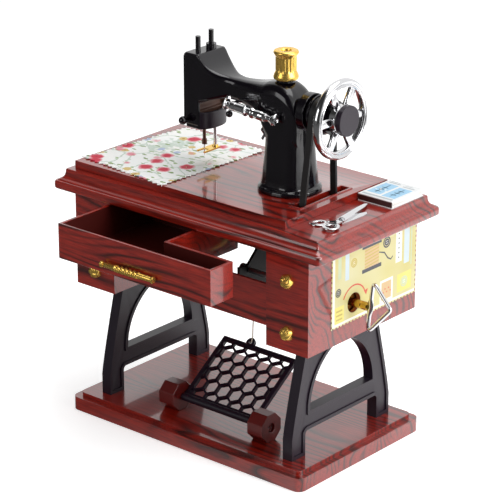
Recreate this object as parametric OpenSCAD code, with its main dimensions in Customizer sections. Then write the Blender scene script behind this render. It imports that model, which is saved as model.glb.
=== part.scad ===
// Wind-up music box in the shape of a treadle sewing machine on its cabinet.
// Millimetres, +Z up, +X towards the handwheel, -Y towards the drawer front.
// The origin is the centre of the base's underside.

/* [Base] */
// Length of the base
base_l = 142; // [130:1:160]
// Width of the base, front to back
base_w = 89.4; // [84:0.2:100]
// Height of the lower slab of the base
slab_h = 6.6; // [5:0.2:10]
// How far the upper step lies in from the slab's edge
step_in = 2.9; // [2:0.1:5]
// Height of the upper step
step_h = 2; // [1.5:0.1:4]
// Wall of the hollow base
base_wall = 1.8; // [1.4:0.1:2.4]

/* [Legs] */
// Height of a leg frame
leg_h = 55; // [50:1:65]
// Thickness of a leg frame
leg_t = 5.5; // [4.5:0.1:7]
// Distance of each leg frame's middle from the centre
leg_x = 56.2; // [54:0.1:60]
// Half the width of a leg frame at its top
leg_top_half = 25; // [24:0.5:29]
// Half the width of a leg frame at its feet
leg_foot_half = 35.7; // [34:0.1:38]
// Width of one foot
foot_w = 9.4; // [8:0.2:11]
// Height of the gap under the cross bar
bar_lift = 12; // [10:0.5:14]
// Height of the cross bar
bar_h = 9; // [7:0.5:10]
// Half the width of the arched window at the cross bar
window_half = 23; // [20:0.5:24]
// Radius of each side of the pointed arch
arch_r = 29.8; // [28:0.2:31]

/* [Cabinet] */
// Length of the cabinet
cab_l = 140.6; // [136:0.2:146]
// Width of the cabinet, front to back
cab_w = 78.2; // [76:0.2:81]
// Height of the two side blocks
block_h = 48.8; // [46:0.2:56]
// Width of the drawer bay between the blocks
bay_l = 92.6; // [90:0.2:95]
// How far the apron's lower edge stands above the blocks' lower edge
apron_lift = 9; // [6:0.5:12]
// Height of the drawer opening's lower edge above the blocks' lower edge
opening_lift = 28.7; // [28:0.1:30]
// Wall of the cabinet
cab_wall = 2; // [1.6:0.1:2.6]

/* [Table top] */
// Length of the table top
table_l = 160; // [156:1:170]
// Width of the table top, front to back
table_w = 88.4; // [86:0.2:94]
// Height of the rim
rim_h = 2.2; // [1.6:0.1:3.4]
// How far the rim hangs below the cabinet's top edge
rim_drop = 2.2; // [1:0.1:2.4]
// How far the upper tier lies in from the rim
tier_in = 4.4; // [3:0.1:6]
// Height of the tier above the rim
tier_h = 5; // [3.5:0.1:6]
// How far the raised bed lies in from the tier
bed_in = 3.2; // [2:0.1:4]
// Height of the raised bed above the tier
bed_h = 3.8; // [3:0.1:5]
// Where the raised bed ends, right of the centre
bed_end = 55; // [54:0.5:58]

/* [Drawer] */
// How far the drawer stands open
drawer_out = 36.4; // [10:0.2:40]
// Clearance round the drawer
drawer_gap = 0.3; // [0.2:0.05:0.6]
// Height of the drawer
drawer_h = 16.9; // [14:0.1:17.2]
// Wall of the drawer
drawer_wall = 1.6; // [1.2:0.1:2]
// Depth of the shallow part behind the drawer's front
shallow_d = 15; // [13:0.5:17]
// Width of the deep part on the left
deep_w = 53.8; // [48:0.2:55]
// Depth of the deep part, front to back
deep_d = 62; // [50:1:70]
// Length of the drawer's handle
handle_l = 32; // [24:1:40]

/* [Treadle] */
// Width of the treadle
treadle_w = 44.6; // [40:0.2:50]
// Depth of the treadle from its axle to its back edge
treadle_d = 36.6; // [30:0.2:38]
// Slope of the treadle at rest, in degrees
treadle_tilt = 35; // [28:0.5:40]
// Thickness of the treadle
treadle_t = 1.8; // [1.4:0.1:2.4]
// Middle of the treadle, right of the centre
treadle_x = 6.3; // [4:0.1:9]
// Size across the flats of an octagonal post
post_af = 13.6; // [12:0.2:16]
// Thickness of a post
post_t = 9; // [6:0.2:10]
// Radius of the treadle's axle
axle_r = 0.8; // [0.6:0.1:1.2]

/* [Music movement] */
// Height of the key's axis above the blocks' lower edge
key_lift = 16.8; // [16:0.2:18]
// How far the key's axis stands in front of the centre
key_fwd = 7; // [6:0.2:9]
// Radius of the winding key's shaft
key_r = 1.9; // [1.6:0.1:2.2]
// Radius of the spring barrel
barrel_r = 10; // [9:0.2:10.4]
// Length of the spring barrel
barrel_l = 9; // [8:0.2:9.4]
// Radius of the pinned cylinder
cylinder_r = 5.5; // [4.5:0.1:6]
// Length of the pinned cylinder
cylinder_l = 17; // [14:0.5:18]
// Number of comb teeth
comb_teeth = 18; // [12:1:20]
// Radius of the lower belt pulley
drive_r = 15.6; // [14:0.1:16]
// Radius of the crank that pulls the treadle's string
crank_r = 9; // [6:0.5:9]

/* [Machine head] */
// Height of the main shaft above the bed
shaft_lift = 38.6; // [37:0.2:40]
// How far the machine stands in front of the centre
head_fwd = 2; // [0:0.5:4]
// Radius of the main shaft
shaft_r = 1.25; // [1:0.05:1.5]
// Middle of the pillar, right of the centre
pillar_x = 29; // [28:0.5:30]
// Radius of the handwheel
wheel_r = 18.3; // [16:0.1:20]
// Number of spokes in the handwheel
wheel_spokes = 6; // [4:1:7]
// Radius of the upper belt pulley
upper_r = 8; // [6:0.1:8.4]
// Width of the drive belt
belt_w = 3.2; // [2:0.1:3.4]
// Radius of the thread spool's flanges
spool_r = 5.7; // [5:0.1:6.5]
// Height of the thread spool
spool_h = 13.4; // [11:0.1:16]
// Radius of the needle bar and the presser bar
bar_r = 0.8; // [0.6:0.05:0.9]

/* [Things on the table] */
// Width of the cloth
cloth_w = 54; // [46:1:56]
// Length of the cloth
cloth_l = 68.5; // [60:0.5:72]
// Turn of the cloth on the bed, in degrees
cloth_turn = -4; // [-8:1:4]
// Length of the book
book_l = 23.6; // [18:0.2:24]
// Width of the book
book_w = 19.2; // [14:0.2:19.6]
// Thickness of the book
book_h = 3.6; // [2.4:0.2:5]

/* [Hidden] */
$fn = 48;
eps = 0.01;
run = 0.05;                      // radial clearance of a running fit
body_gap = 0.3;                  // space between pieces that move past each other

base_h = slab_h + step_h;
block_z = base_h + leg_h;
apron_z = block_z + apron_lift;
opening_z = block_z + opening_lift;
rim_z = block_z + block_h;
tray_z = rim_z + rim_h + tier_h;
bed_z = tray_z + bed_h;
bay_x = bay_l / 2;
front_y = -cab_w / 2;
inner_y = cab_w / 2 - cab_wall;
inner_x = cab_l / 2 - cab_wall;
opening_top = rim_z - cab_wall;

bed_half_w = table_w / 2 - tier_in - bed_in;
bed_start = -(table_l / 2 - tier_in - bed_in);
top_skin = 1.8;                  // wall of the table and bed mouldings
slot_x = 47.4;
slot_w = 4.6;
slot_y = [-20, 15];

head_y = -head_fwd;
shaft_z = bed_z + shaft_lift;
key_y = -key_fwd;
key_z = block_z + key_lift;

drawer_y = front_y - drawer_out;
drawer_z = opening_z + drawer_gap;
drawer_half = bay_x - 2 * drawer_gap;
deep_edge = -drawer_half + deep_w;

post_z = base_h + post_af / 2;
post_y = -25.2;
post_reach = treadle_w / 2 + 0.5; // from the treadle's middle to a post

plate_t = 1.5;
plate_x = inner_x - 0.8 - plate_t;
barrel_x = plate_x - 0.5 - barrel_l;
cyl_axis_x = barrel_x - 3;
cyl_y = 14;
crank_x = deep_edge - 3.3;
string_x = crank_x - 1.4;

// ---------- shared shapes ----------

// Rectangle with true round corners, centred
module rrect(l, w, r) {
  square([l - 2 * r, w], center = true);
  square([l, w - 2 * r], center = true);
  for (sx = [-1, 1], sy = [-1, 1])
    translate([sx * (l / 2 - r), sy * (w / 2 - r)]) circle(r);
}

// Round-cornered block standing on z
module slab(l, w, h, r, z) {
  translate([0, 0, z]) linear_extrude(h) rrect(l, w, r);
}

// Box from its lowest to its highest corner
module box(a, b) {
  translate(a) cube(b - a);
}

// Cylinder along X from x0 to x1 at height and depth [y, z]
module xcyl(x0, x1, yz, r) {
  translate([x0, yz[0], yz[1]]) rotate([0, 90, 0]) cylinder(h = x1 - x0, r = r);
}

// Cylinder along Y from y0 to y1 at [x, z]
module ycyl(y0, y1, xz, r) {
  translate([xz[0], y0, xz[1]]) rotate([-90, 0, 0]) cylinder(h = y1 - y0, r = r);
}

module zcyl(z0, z1, xy, r) {
  translate([xy[0], xy[1], z0]) cylinder(h = z1 - z0, r = r);
}

// Countersunk screw, head down, its thread upwards from z
module up_screw(xy, z, head_r, shank_r, l) {
  zcyl(z, z + 1.2, xy, head_r);
  zcyl(z + 1.1, z + l, xy, shank_r);
}

// ---------- base and legs ----------

screw_r = 1.1;
leg_screw_y = leg_foot_half - foot_w / 2;
leg_top_y = 14;

cover_t = 1.4;
module base_plinth() color("#7a1a14") difference() {
  union() {
    slab(base_l, base_w, slab_h, 4, 0);
    slab(base_l - 2 * step_in, base_w - 2 * step_in, base_h, 3, 0);
  }
  difference() {
    slab(base_l - 2 * (step_in + base_wall), base_w - 2 * (step_in + base_wall),
      base_h - base_wall + eps, 2, -eps);
    for (sx = [-1, 1], sy = [-1, 1])
      zcyl(cover_t, base_h, [sx * leg_x, sy * leg_screw_y], 3.4);
    for (x = [-leg_x / 3, leg_x / 3])
      box([x - 0.6, -base_w / 2, cover_t], [x + 0.6, base_w / 2, base_h]);
  }
  for (sx = [-1, 1], sy = [-1, 1]) {
    zcyl(-1, base_h - base_wall, [sx * leg_x, sy * leg_screw_y], 2.3);
    zcyl(-1, base_h + 1, [sx * leg_x, sy * leg_screw_y], screw_r + run);
  }
}

module base_cover() color("#3c0a08")
  slab(base_l - 2 * (step_in + base_wall) - 0.2, base_w - 2 * (step_in + base_wall) - 0.2, cover_t, 1.9, 0);

// Half the width of a leg frame at height z above its feet
function leg_half(z) = z < 10 ? leg_foot_half
  : leg_foot_half - (leg_foot_half - leg_top_half) * pow((z - 10) / (leg_h - 10), 1.12);

// Outline of a leg frame, drawn in by e all round
module leg_outline(e) {
  steps = 10;
  zs = [e, for (i = [0 : steps]) 10 + (leg_h - e - 10) * i / steps];
  arch_c = arch_r - window_half;
  win_z = bar_lift + bar_h;
  notch = leg_foot_half - foot_w;
  difference() {
    polygon([for (z = zs) [leg_half(z) - e, z],
      for (i = [len(zs) - 1 : -1 : 0]) [e - leg_half(zs[i]), zs[i]]]);
    intersection() {
      translate([arch_c, win_z]) circle(arch_r + e, $fn = 96);
      translate([-arch_c, win_z]) circle(arch_r + e, $fn = 96);
      translate([-leg_foot_half, win_z - e]) square([2 * leg_foot_half, leg_h]);
    }
    translate([-notch - e, -eps]) square([2 * (notch + e), bar_lift - 2 + e]);
    translate([-notch + 2, -eps]) square([2 * (notch - 2), bar_lift + e]);
    for (s = [-1, 1]) translate([s * (notch - 2), bar_lift - 2]) circle(2 + e);
  }
}

module leg_frame(x) color("#241f26") difference() {
  translate([x - leg_t / 2, 0, base_h]) rotate([90, 0, 90]) linear_extrude(leg_t) leg_outline(0);
  for (s = [-1, 1])
    translate([x + s * (leg_t / 2 - 0.7) - (s < 0 ? 1 : 0), 0, base_h])
      rotate([90, 0, 90]) linear_extrude(1) leg_outline(1.7);
  for (s = [-1, 1]) {
    zcyl(base_h - 1, base_h + 7, [x, s * leg_screw_y], screw_r - 0.1);
    zcyl(block_z - 4, block_z + 1, [x, s * leg_top_y], screw_r - 0.1);
  }
}
module left_leg_frame() leg_frame(-leg_x);
module right_leg_frame() leg_frame(leg_x);

module leg_screws() color("#8a8a8e") for (x = [-leg_x, leg_x], s = [-1, 1]) {
  zcyl(base_h - base_wall - 1.3, base_h - base_wall, [x, s * leg_screw_y], 2.1);
  zcyl(base_h - base_wall - eps, base_h + 5.5, [x, s * leg_screw_y], screw_r - 0.15);
  zcyl(block_z + cab_wall, block_z + cab_wall + 1.3, [x, s * leg_top_y], 2.1);
  zcyl(block_z - 3, block_z + cab_wall + eps, [x, s * leg_top_y], screw_r - 0.15);
}

// ---------- treadle ----------

eye_r = 2.3;
eye_x = -0.5;                     // the string's eye, right of the centre

// Lays a shape drawn in the treadle's own plane onto its slope
module on_treadle() translate([0, post_y, post_z]) rotate([treadle_tilt, 0, 0]) children();

module treadle_post(s) color("#5e100d") difference() {
  x = treadle_x + s * (post_reach + post_t / 2);
  translate([x - post_t / 2, post_y, post_z]) rotate([0, 90, 0]) rotate([0, 0, 22.5])
    cylinder(h = post_t, r = post_af / 2 / cos(22.5), $fn = 8);
  xcyl(x - post_t, x + post_t, [post_y, post_z], axle_r + 0.02);
  xcyl(x + s * (post_t / 2 - 0.7) - 0.8, x + s * (post_t / 2 - 0.7) + 0.8, [post_y, post_z], 2.2);
}
module left_treadle_post() treadle_post(-1);
module right_treadle_post() treadle_post(1);

module treadle_grille() color("#15121a") {
  rim = 2.2;
  cell = 7.4;
  row = cell * sqrt(3) / 2;
  bar = 1.1;
  difference() {
    union() {
      on_treadle() translate([treadle_x - treadle_w / 2, 0, -treadle_t / 2])
        cube([treadle_w, treadle_d, treadle_t]);
      on_treadle() translate([eye_x, treadle_d + 1.2, -treadle_t / 2]) cylinder(h = treadle_t, r = eye_r);
      xcyl(treadle_x - treadle_w / 2, treadle_x + treadle_w / 2, [post_y, post_z], 1.9);
    }
    on_treadle() translate([0, 0, -treadle_t]) linear_extrude(2 * treadle_t) intersection() {
      translate([treadle_x - treadle_w / 2 + rim, rim + 0.4])
        square([treadle_w - 2 * rim, treadle_d - 2 * rim - 0.4]);
      for (j = [0 : floor(treadle_d / row)], i = [0 : ceil(treadle_w / cell)])
        translate([treadle_x - treadle_w / 2 + (i + (j % 2) / 2) * cell, rim + 0.6 + j * row])
          rotate(30) circle((cell - bar) / sqrt(3), $fn = 6);
    }
    on_treadle() translate([eye_x, treadle_d + 1.2, -2]) cylinder(h = 4, r = 1);
    xcyl(-base_l / 2, base_l / 2, [post_y, post_z], axle_r + run);
  }
}

module treadle_axle() color("#b8b8bc")
  xcyl(treadle_x - post_reach - post_t + 2, treadle_x + post_reach + post_t - 2, [post_y, post_z], axle_r);

string_r = 0.3;
eye_y = post_y + (treadle_d + 1.2) * cos(treadle_tilt);
eye_z = post_z + (treadle_d + 1.2) * sin(treadle_tilt);
crank_pin_y = key_y + crank_r;
string_route = [[eye_x, eye_y, eye_z], [0.4, eye_y, eye_z + 3], [1.4, eye_y - 1, eye_z + 8],
  [string_x - 0.4, eye_y - 2, eye_z + 16], [string_x, crank_pin_y, key_z - 14],
  [string_x, crank_pin_y, key_z - 1.7]];

// Round tube along a route: one ring at each point, square to the vertical
module tube(route, r, sides) {
  n = len(route);
  rings = [for (p = route, k = [0 : sides - 1])
    [p[0] + r * cos(360 * k / sides), p[1] + r * sin(360 * k / sides), p[2]]];
  walls = [for (i = [0 : n - 2], k = [0 : sides - 1])
    [i * sides + k, (i + 1) * sides + k, (i + 1) * sides + (k + 1) % sides, i * sides + (k + 1) % sides]];
  ends = [[for (k = [0 : sides - 1]) k], [for (k = [sides - 1 : -1 : 0]) (n - 1) * sides + k]];
  polyhedron(rings, concat(walls, ends));
}

module treadle_string() color("#d8c8b4") {
  tube(string_route, string_r, 8);
  translate([string_x, crank_pin_y, key_z]) rotate([0, 90, 0])
    rotate_extrude() translate([1.6, 0]) circle(string_r + 0.05, $fn = 16);
}

// ---------- cabinet ----------

label_y = [-23.2, cab_w / 2 - 0.5];
label_z = [block_z + 8.1, rim_z - rim_drop - 0.3];
label_t = 0.25;
key_hole_r = 4.6;

module cabinet_shell() color("#7a1a14") difference() {
  union() {
    difference() {
      box([-cab_l / 2, front_y, block_z], [cab_l / 2, -front_y, rim_z]);
      box([-inner_x, -inner_y, block_z - 1], [inner_x, inner_y, rim_z + 1]);
    }
    box([-bay_x - cab_wall, -inner_y - eps, block_z], [-bay_x, inner_y + eps, rim_z]);
    box([bay_x, -inner_y - eps, block_z], [bay_x + cab_wall, -inner_y + 9, rim_z]);
    for (y = [-18, 12, 32], z = [key_z - 11, key_z + 14])
      xcyl(plate_x + plate_t, inner_x + eps, [y, z], 2.2);
  }
  box([-bay_x, front_y - 1, opening_z], [bay_x, -inner_y + 0.2, opening_top]);
  box([-bay_x, front_y - 1, block_z - 1], [bay_x, -front_y + 1, apron_z]);
  box([-bay_x, front_y - 1, block_z - 1], [bay_x, front_y + 0.6, opening_z + 1]);
  xcyl(inner_x - 1, cab_l / 2 + 1, [key_y, key_z], key_hole_r);
  for (y = [-18, 12, 32], z = [key_z - 11, key_z + 14])
    xcyl(plate_x, inner_x + 1, [y, z], 0.9);
}

module bottom_cover(x0, x1) color("#5e100d") difference() {
  box([x0, -inner_y + 0.1, block_z], [x1, inner_y - 0.1, block_z + cab_wall]);
  for (s = [-1, 1], x = [-leg_x, leg_x])
    zcyl(block_z - 1, block_z + 5, [x, s * leg_top_y], screw_r + run);
}
module left_bottom_cover() bottom_cover(-inner_x + 0.1, -bay_x - cab_wall - 0.1);
module right_bottom_cover()
  bottom_cover(max(bay_x + cab_wall, pulley_x + pulley_w) + 0.5, inner_x - 0.1);

runner_h = 1.8;
runner_w = 2.8;
module runner(x0) color("#3c0a08")
  box([x0, -inner_y, opening_z - runner_h], [x0 + runner_w, inner_y, opening_z]);
module left_drawer_runner() runner(-bay_x);

// The right runner stands on a wall across the bay, which also carries the crank shaft's bearing
guide_t = 1.4;
guide_low = block_z + 4.4;
guide_front = key_y + 6;
module right_drawer_runner() color("#0c0b0e") difference() {
  union() {
    box([deep_edge - 1.6, guide_front, opening_z - runner_h], [deep_edge - 1.6 + runner_w, inner_y, opening_z]);
    translate([deep_edge - 0.2, 0, 0]) rotate([90, 0, 90]) linear_extrude(guide_t)
      polygon([[key_y - 7, guide_low], [key_y - 7, key_z + 3.1], [key_y - 1.5, key_z + 1.9],
        [key_y + 5.4, key_z + 8.2], [guide_front, opening_z - 0.5], [inner_y, opening_z - 0.5],
        [inner_y, guide_low]]);
  }
  xcyl(deep_edge - 3, deep_edge + 3, [key_y, key_z], shaft_r + run);
}

knob_x = (cab_l / 2 + bay_x) / 2;
module block_knobs() color("#d8a531")
  for (sx = [-1, 1], z = [block_z + 8.8, block_z + 33.4]) translate([sx * knob_x, front_y, z])
    rotate([90, 0, 0]) rotate_extrude()
      polygon([[0, 0], [2.2, 0], [2.2, 0.6], [3.6, 0.9], [3.6, 1.6], [2.7, 2.5], [0, 3]]);

module side_label() color("#ece3a8") difference() {
  box([cab_l / 2, label_y[0], label_z[0]], [cab_l / 2 + label_t, label_y[1], label_z[1]]);
  xcyl(cab_l / 2 - 1, cab_l / 2 + 1, [key_y, key_z], key_hole_r);
}

// ---------- drawer ----------

module drawer_plan(e) {
  translate([-drawer_half + e, e]) square([2 * drawer_half - 2 * e, shallow_d - 2 * e]);
  translate([-drawer_half + e, e]) square([deep_w - 2 * e, deep_d - 2 * e]);
}
module drawer_tray() color("#7a1a14") translate([0, drawer_y, drawer_z]) difference() {
  linear_extrude(drawer_h) drawer_plan(0);
  translate([0, 0, drawer_wall]) linear_extrude(drawer_h) drawer_plan(drawer_wall);
}

module drawer_handle() color("#d8a531") {
  y = drawer_y - 1.9;
  z = drawer_z + 5;
  x0 = -handle_l / 2 - 1.5;
  for (s = [0, 1]) {
    ycyl(y, drawer_y, [x0 + 2 + s * (handle_l - 4), z], 0.8);
    xcyl(x0 + s * (handle_l - 2.4), x0 + 2.4 + s * (handle_l - 2.4), [y, z], 1.6);
    xcyl(x0 + 2 + s * (handle_l - 11.5), x0 + 9.5 + s * (handle_l - 11.5), [y, z], 1.2);
  }
  xcyl(x0 + 9, x0 + handle_l - 9, [y, z], 1.05);
  for (i = [0 : 5])
    xcyl(x0 + 9.6 + i * (handle_l - 20.6) / 5, x0 + 10.9 + i * (handle_l - 20.6) / 5, [y, z], 1.5);
}

// ---------- table top ----------

module belt_slot(e, z0, z1)
  box([slot_x - slot_w / 2 - e, slot_y[0] - e, z0], [slot_x + slot_w / 2 + e, slot_y[1] + e, z1]);

pillar_screw_dx = 6.2;

rim_play = 0.3;

module table_top() color("#7a1a14") difference() {
  union() {
    slab(table_l, table_w, rim_h + rim_drop, 1.6, rim_z - rim_drop);
    slab(table_l - 1.4 * tier_in, table_w - 1.4 * tier_in, rim_h + tier_h / 4, 1.2, rim_z);
    slab(table_l - 1.8 * tier_in, table_w - 1.8 * tier_in, rim_h + tier_h / 2, 1.1, rim_z);
    slab(table_l - 2 * tier_in, table_w - 2 * tier_in, rim_h + tier_h, 1, rim_z);
  }
  box([-cab_l / 2 - rim_play, -cab_w / 2 - rim_play, rim_z - rim_drop - 1],
    [cab_l / 2 + rim_play, cab_w / 2 + rim_play, rim_z]);
  difference() {
    slab(cab_l - 8, cab_w - 8, rim_h + tier_h - top_skin, 1, rim_z - eps);
    belt_slot(1.4, rim_z - 1, tray_z);
  }
  belt_slot(0, rim_z - 1, tray_z + 1);
  for (s = [-1, 1]) zcyl(rim_z, tray_z + 1, [pillar_x + s * pillar_screw_dx, head_y], 2.6);
}

module machine_bed() color("#7a1a14") difference() {
  union() {
    box([bed_start, -bed_half_w, tray_z], [bed_end, bed_half_w, bed_z]);
    difference() {
      belt_slot(1.1, bed_z - 1, bed_z + 0.5);
      belt_slot(0, bed_z - 2, bed_z + 1);
    }
  }
  difference() {
    box([bed_start + top_skin, -bed_half_w + top_skin, tray_z - 1],
      [bed_end - top_skin, bed_half_w - top_skin, bed_z - top_skin]);
    belt_slot(1.4, tray_z - 2, bed_z);
  }
  belt_slot(0, tray_z - 1, bed_z + 1);
  for (s = [-1, 1]) zcyl(tray_z, bed_z + 1, [pillar_x + s * pillar_screw_dx, head_y], screw_r + run);
}

// ---------- machine body ----------

waist = [19.4, 18];               // pillar at its waist
heel = [24, 22.4];              // pillar above its foot
flange = [29, 28];             // pillar's foot
flange_h = 2.2;
waist_z = shaft_z - 12;
head_x = [-26, -17.5];
head_half = 9.7;
head_top = shaft_z + 17.2;
head_low = shaft_z - 17;
body_wall = 1.5;
pillar_end = pillar_x + waist[0] / 2;
pillar_left = pillar_x - waist[0] / 2;
dome_r = 12;

// Side view of the neck, the arm and the shoulder, from X and height
module side_view() {
  neck_r = 13;
  difference() {
    polygon([[head_x[0], head_top], [head_x[1], head_top], [head_x[1] + neck_r, shaft_z + 7.6],
      [pillar_left - 3, shaft_z + 9.6], [pillar_x - 4, shaft_z + 11.4], [pillar_x, shaft_z + 11.4],
      [pillar_end - 3.2, shaft_z + 8.6], [pillar_end - 0.6, shaft_z + 4.6], [pillar_end, shaft_z],
      [pillar_end, waist_z], [pillar_left, waist_z], [pillar_left - 1.2, shaft_z - 9],
      [pillar_left - 5, shaft_z - 6.4], [head_x[1] + 2, shaft_z - 3.6], [head_x[0], shaft_z - 3.6]]);
    translate([head_x[1] + neck_r + 1, shaft_z + 7.6 + neck_r]) scale([1.05, 1]) circle(neck_r);
  }
}

// Top view of the same, from X and depth
module top_view() {
  polygon([[head_x[0], head_half], [head_x[1], head_half], [head_x[1] + 5, head_half - 2.4],
    [head_x[1] + 11, 5.6], [pillar_left - 4, 6.6], [pillar_left + 2, 8.5], [pillar_left + 2, -8.5],
    [pillar_left - 4, -6.6], [head_x[1] + 11, -5.6], [head_x[1] + 5, -head_half + 2.4],
    [head_x[1], -head_half], [head_x[0], -head_half]]);
  translate([pillar_x, 0]) rrect(waist[0], waist[1], 6);
}

module plan_slice(size, r, z) translate([pillar_x, 0, z]) linear_extrude(eps) rrect(size[0], size[1], r);

module body_solid() {
  intersection() {
    translate([0, head_half + 1, 0]) rotate([90, 0, 0]) linear_extrude(2 * head_half + 2) side_view();
    translate([0, 0, bed_z]) linear_extrude(head_top) top_view();
  }
  hull() {
    plan_slice(waist, 6, waist_z);
    plan_slice(heel, 8.5, bed_z + flange_h);
  }
  translate([pillar_x, 0, bed_z]) linear_extrude(flange_h + eps) rrect(flange[0], flange[1], 13);
  translate([(head_x[0] + head_x[1]) / 2, 0, head_low])
    linear_extrude(head_top - head_low) rrect(head_x[1] - head_x[0], 2 * head_half, 1);
  translate([head_x[1] - 2, 0, head_low - 1]) linear_extrude(7) intersection() {
    rrect(7.4, 2 * head_half, 3);
    translate([-1, -head_half]) square([10, 2 * head_half]);
  }
}

needle_x = -21.6;
needle_y = -0.8;                   // from the machine's middle plane
presser_y = 6.7;
bore_z = head_low + 4;

module body_hollow() {
  translate([pillar_x, 0, bed_z - 1]) linear_extrude(waist_z - bed_z + 14)
    rrect(waist[0] - 2 * body_wall, waist[1] - 2 * body_wall, 4.6);
  xcyl(head_x[0] + 1, pillar_end + 1, [0, shaft_z], shaft_r + 1);
  box([head_x[0] - 1, -head_half + body_wall, head_low + 3],
    [head_x[1] - body_wall + 0.2, head_half - body_wall, head_top - body_wall]);
  for (y = [needle_y, presser_y]) zcyl(head_low - 2, head_low + 4, [needle_x, y], bar_r + run);
  // slot in the head's inner side, above the cup
  box([head_x[1] - 3, -head_half + 1.2, head_low + 6.4], [head_x[1] + 4, head_half - 1.2, head_low + 10.6]);
  // seats of the spool pin, the chrome rod and the lever
  zcyl(spool_z - 5, spool_z + 1, [spool_x, 0], 1.3);
  ycyl(-12, -4.4, [rod_start[0] + 2.6, rod_start[1] + 0.4], 0.9);
  xcyl(pillar_left - 3, pillar_left + 1.1, [-3, lever_z], 0.9);
  xcyl(head_x[1] - 4, head_x[1] + 1, [0, shaft_z], 2.6);
  xcyl(pillar_end - 4, pillar_end + 1, [0, shaft_z], 3.4);
}

module body_shell(side) color("#141114") translate([0, head_y, 0]) {
  difference() {
    intersection() {
      body_solid();
      translate([-50, side > 0 ? 0 : -50, bed_z - 5]) cube([120, 50, 90]);
    }
    body_hollow();
  }
  intersection() {
    for (s = [-1, 1]) translate([pillar_x + s * pillar_screw_dx, 0, bed_z]) difference() {
      cylinder(h = 10, r = 2.6);
      translate([0, 0, -1]) cylinder(h = 12, r = screw_r - 0.1);
    }
    translate([-50, side > 0 ? 0 : -50, bed_z - 5]) cube([120, 50, 90]);
  }
}
module front_body_shell() body_shell(-1);
module back_body_shell() body_shell(1);

module pillar_screws() color("#8a8a8e") for (s = [-1, 1]) {
  zcyl(bed_z - top_skin - 1.3, bed_z - top_skin, [pillar_x + s * pillar_screw_dx, head_y], 2.2);
  zcyl(bed_z - top_skin - eps, bed_z + 7, [pillar_x + s * pillar_screw_dx, head_y], screw_r - 0.15);
}

module face_plate() color("#141114") translate([head_x[0], head_y, head_low])
  rotate([90, 0, -90]) linear_extrude(0.8)
    translate([0, (head_top - head_low) / 2]) rrect(2 * head_half - 1.2, head_top - head_low - 1.2, 2);

module top_pins() color("#141114") {
  zcyl(head_top, head_top + 7.2, [head_x[1] - 3.8, head_y - 5], 1.2);
  zcyl(head_top, head_top + 8.8, [head_x[1] - 3.1, head_y + 3.2], 1.2);
  zcyl(head_top, head_top + 2.4, [head_x[1] - 3.1, head_y + 3.2], 2.4);
}

needle_low = bed_z + 10.6;
module needle_bar() color("#6e5a4c") {
  zcyl(needle_low, head_low + 12, [needle_x, head_y + needle_y], bar_r);
  zcyl(needle_low, needle_low + 2.4, [needle_x, head_y + needle_y], 1.2);
  zcyl(head_low + 7.4, head_low + 8.6, [needle_x, head_y + needle_y], 1.5);
}
module needle() color("#c8c8cc") translate([needle_x, head_y + needle_y, needle_low - 6])
  rotate_extrude() polygon([[0, 0], [0.3, 1.8], [0.35, 6], [0, 6]]);

foot_z = bed_z + 7;
module presser_bar() color("#c8c8cc") {
  zcyl(foot_z + 1.2, head_low + 13, [needle_x, head_y + presser_y], bar_r);
  zcyl(head_low + 9.6, head_low + 11.6, [needle_x, head_y + presser_y], 1.5);
}
module presser_foot() color("#c9b47c") difference() {
  union() {
    box([needle_x - 2.5, head_y + needle_y - 2.6, foot_z], [needle_x + 2.5, head_y + presser_y + 1, foot_z + 0.8]);
    zcyl(foot_z, foot_z + 1.2 + eps, [needle_x, head_y + presser_y], 1.5);
  }
  box([needle_x - 1.6, head_y + needle_y - 5, foot_z - 1], [needle_x + 1.6, head_y + needle_y + 1.6, foot_z + 3]);
}

module tension_knob() color("#0c0b0e") {
  ycyl(head_y - head_half - 2.2, head_y - head_half, [head_x[0] + 1.9, head_low + 2.6], 0.9);
  translate([head_x[0] + 1.9, head_y - head_half - 3, head_low + 2.6]) sphere(r = 2, $fn = 32);
}

// The chrome rod lies along the arm, a little lower towards the pillar
rod_l = 30;
rod_y = head_y - 12;
rod_drop = 4;
rod_start = [1, shaft_z - 1.4];
module bobbin_rod() color("#d9dadd") {
  translate([rod_start[0], rod_y, rod_start[1]]) rotate([0, 90 + rod_drop, 0]) rotate_extrude()
    polygon([[0, 0], [2.6, 0], [2.6, 1.2], [1.5, 1.6], [1.5, 3.4], [2.2, 4], [2.2, 11.4], [2.6, 11.8],
      [2.6, 12.8], [1.7, 13.4], [1.7, 15.2], [2.5, 15.8], [2.5, 16.8], [2.2, 17.2], [2.2, 24.4],
      [1.6, 25], [1.6, 27], [2.6, rod_l - 1.4], [2.6, rod_l], [0, rod_l]]);
  ycyl(rod_y, head_y - 4.4, [rod_start[0] + 2.6, rod_start[1] + 0.4], 0.9);
  ycyl(rod_y, head_y - waist[1] / 2, [rod_start[0] + 27, rod_start[1] - 27 * sin(rod_drop)], 1);
}
module rod_ball() color("#0c0b0e")
  translate([rod_start[0] + 2.4, rod_y, rod_start[1] - 4.4]) sphere(r = 1.6, $fn = 32);

lever_z = shaft_z - 14.4;
module thumb_lever() color("#d9dadd") translate([pillar_left + 0.6, head_y - 3, lever_z]) {
  xcyl(-3.4, 0.5, [0, 0], 0.9);
  translate([-3, 0, 0]) rotate([35, 0, 0]) cube([0.9, 1.8, 8], center = true);
  translate([-3, 0, 0]) rotate([-40, 0, 0]) cube([0.9, 1.6, 6.4], center = true);
}

// ---------- spool ----------

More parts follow.
